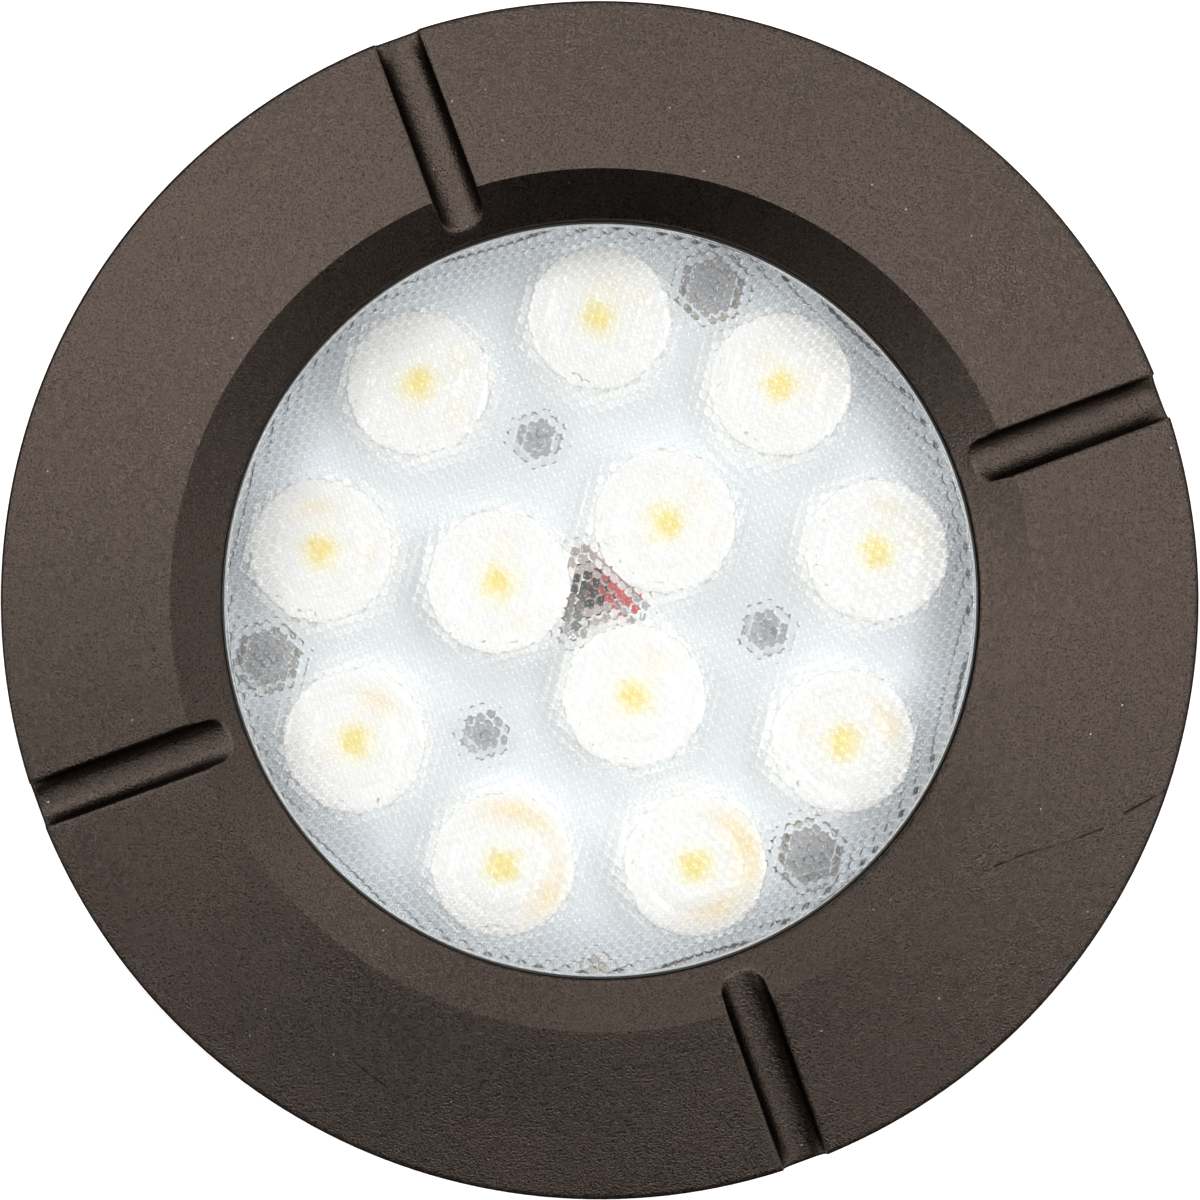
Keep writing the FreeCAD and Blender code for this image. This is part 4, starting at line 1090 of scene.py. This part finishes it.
def opticOutline(s):
    # a dished middle, a fine step, the flat ring with its rounded rim, the neck and the cavity inside
    top, dish, step, radius = s["top"], s["dish"], s["stepRadius"], s["radius"]
    outline = [(0.0, top - dish), (1.5, top - dish), (2.8, top - dish + 0.01), (4.2, top - dish + 0.03)]
    outline += [(step - 0.15, top), (step, top - 0.03), (step + 0.15, top)]
    outline += [(7.8, top), (8.7, top), (9.35, top)]
    outline += [(radius - 0.25, top - 0.01), (radius - 0.08, top - 0.07), (radius, top - 0.2)]
    outline += [(radius, top - s["flange"]), (s["neck"], top - s["flange"] - 0.02), *s["flank"]]
    outline += [(s["foot"], s["footHeight"]), (s["cavity"], s["footHeight"])]
    outline += [(s["cavity"], s["cavityHeight"] - s["cavityRound"]), (s["cavity"] - 0.6, s["cavityHeight"])]
    return outline + [(0.0, s["cavityHeight"] + 0.2)]


def swingFrom(direction, x, y):
    # how far a place lies from a direction, in degrees either way
    return (math.degrees(math.atan2(y, x)) - direction + 180.0) % 360.0 - 180.0


def patchStrength(x, y, patches):
    # soft patches laid round the optic's middle: painted warm light that its own source gives it
    total = 0.0
    for direction, distance, along, across, strength in patches:
        arc = math.radians(swingFrom(direction, x, y)) * distance
        away = math.hypot(x, y) - distance
        total += strength * math.exp(-(arc / along) ** 2 - (away / across) ** 2)
    return min(total, 1.0)


def makeOptic(index, s, centre, edgeShadeTurn, patches):
    mesh = revolve("optic%02d" % index, opticOutline(s), s["segments"], centre, sharpAngle=35.0)
    face = mesh.uv_layers.new(name="face")
    for loop in mesh.loops:
        place = mesh.vertices[loop.vertex_index].co
        face.data[loop.index].uv = [0.5 + (place[i] / mm - centre[i]) / faceMapSize for i in range(2)]
    warm = mesh.attributes.new("warm", "FLOAT", "POINT")
    marks = mesh.attributes.new("marks", "FLOAT", "POINT")
    for v in mesh.vertices:
        x, y = v.co.x / mm - centre[0], v.co.y / mm - centre[1]
        onFace = v.co.z / mm > s["top"] - 0.6
        warm.data[v.index].value = patchStrength(x, y, patches) if onFace else s["innerWarmth"]
        # painted shade: the dark arc fades away from its direction
        fade = math.exp(-(swingFrom(edgeShadeTurn, x, y) / s["edgeShadeSpread"]) ** 2)
        marks.data[v.index].value = fade if onFace else 0.0
    dress(addObject("optic%02d" % index, mesh), "lamp", "optic_clear", "optic_%02d" % index)


holderShape = {
    "bore": 9.45, "radius": 10.25, "flange": 10.9, "bottom": 109.8, "top": 120.2,
    "round": 0.25, "bevel": 0.07, "segments": 72,
}


def makeHolder(index, s, centre):
    r, t, low, top, flange = s["radius"], s["round"], s["bottom"], s["top"], s["flange"]
    bore, bevel = s["bore"], s["bevel"]
    outline = [
        (bore, low), (flange - 0.15, low), (flange, low + 0.15), (flange, low + 0.8),
        (flange - 0.2, low + 1.0), (r + 0.25, low + 1.15), (r + bevel, low + 1.4), (r, low + 1.8),
        (r, top - t), (r - bevel, top - bevel), (r - t, top),
        (bore + t, top), (bore + bevel, top - bevel), (bore, top - t),
    ]
    mesh = revolve("opticHolder%02d" % index, outline, s["segments"], centre, sharpAngle=50.0)
    dress(addObject("opticHolder%02d" % index, mesh), "lamp", "holder_white", "optic_holder_%02d" % index)


for number, (ring, direction, edgeShadeTurn, patches) in enumerate(opticShape["places"], start=1):
    turn = math.radians(direction)
    middle = (ring * math.cos(turn), ring * math.sin(turn))
    makeOptic(number, opticShape, middle, edgeShadeTurn, patches)
    makeHolder(number, holderShape, middle)
print("optics and holders made")


# leads, as smooth tubes along their routes

leadShape = {
    "radius": 0.9, "sides": 16, "steps": 10,
    "routes": {
        "red_lead": [(-3, 6, 67), (-9, 6, 67), (-13, 6, 73), (-11, 5.4, 83), (0.4, 3.6, 95),
                     (0.8, 2.2, 107.8), (2.2, 0.9, 113.2), (5.2, -0.9, 110.8)],
        "black_lead": [(-3, -6, 67), (-10, -6, 67), (-14, -4.8, 74), (-11.5, -2.6, 84), (-2.6, 1.2, 96),
                       (-2.7, 0.6, 107.8), (-2.8, -1.0, 113.0), (-3.4, -4.2, 110.8)],
    },
    "slots": {"red_lead": "wire_red", "black_lead": "wire_black"},
}


def smoothRoute(points, steps):
    # a curve through every point, evenly divided
    route = [Vector(p) for p in points]
    ends = [route[0] * 2 - route[1]] + route + [route[-1] * 2 - route[-2]]
    path = []
    for a, b, c, d in zip(ends, ends[1:], ends[2:], ends[3:]):
        for k in range(steps):
            t = k / steps
            path.append(0.5 * (2 * b + (c - a) * t + (2 * a - 5 * b + 4 * c - d) * t * t
                               + (3 * b - a - 3 * c + d) * t ** 3))
    return path + [route[-1]]


def makeTube(name, path, radius, sides):
    # a closed tube round the path, its rings carried along without twist
    points, rings, faces = [], [], []
    side = (path[1] - path[0]).orthogonal().normalized()
    for i, centre in enumerate(path):
        ahead = (path[min(i + 1, len(path) - 1)] - path[max(i - 1, 0)]).normalized()
        side = (side - ahead * side.dot(ahead)).normalized()
        other = ahead.cross(side)
        rings.append(range(len(points), len(points) + sides))
        points += [centre + a * side + b * other for a, b, _ in ringPoints(radius, 0.0, sides)]
    for low, high in zip(rings, rings[1:]):
        faces += bandFaces(low, high)
    mesh = meshFromPoints(name, points, faces + [tuple(rings[0]), tuple(rings[-1])], sharpAngle=60.0)
    shell = bmesh.new()
    shell.from_mesh(mesh)
    bmesh.ops.recalc_face_normals(shell, faces=shell.faces)
    shell.to_mesh(mesh)
    shell.free()
    return mesh


def makeLeads(s):
    for name, route in s["routes"].items():
        colour, kind = name.split("_")
        label = colour + kind.capitalize()
        lead = addObject(label, makeTube(label, smoothRoute(route, s["steps"]), s["radius"], s["sides"]))
        dress(lead, "lamp", s["slots"][name], name)


makeLeads(leadShape)
print("leads made")


# thermal pad, with its wire hole drawn in round the two leads

padShape = {
    "hole": (-1.0, 2.4), "holeRadius": 6.3,  # what lies within this is drawn in
    "cutCentre": (-0.95, 1.4), "cutRadius": 2.6, "weldGap": 0.001,
}


def makePad(s):
    mesh = nodes["thermal_pad"].data.copy()
    mesh.name = "thermalPad"
    shell = bmesh.new()
    shell.from_mesh(mesh)
    bmesh.ops.remove_doubles(shell, verts=shell.verts, dist=s["weldGap"] * mm)
    shell.to_mesh(mesh)
    shell.free()
    hole, cut = Vector(s["hole"]), Vector(s["cutCentre"])
    moved = 0
    for v in mesh.vertices:
        arm = Vector(v.co.xy) / mm - hole
        if arm.length < s["holeRadius"]:
            v.co.x, v.co.y = (cut + arm.normalized() * s["cutRadius"]) * mm
            moved += 1
    mesh.update()
    dress(addObject("thermalPad", mesh), "lamp", "pad_grey", "thermal_pad")
    print("pad:", moved, "corners drawn in")


makePad(padShape)

print("scene complete")
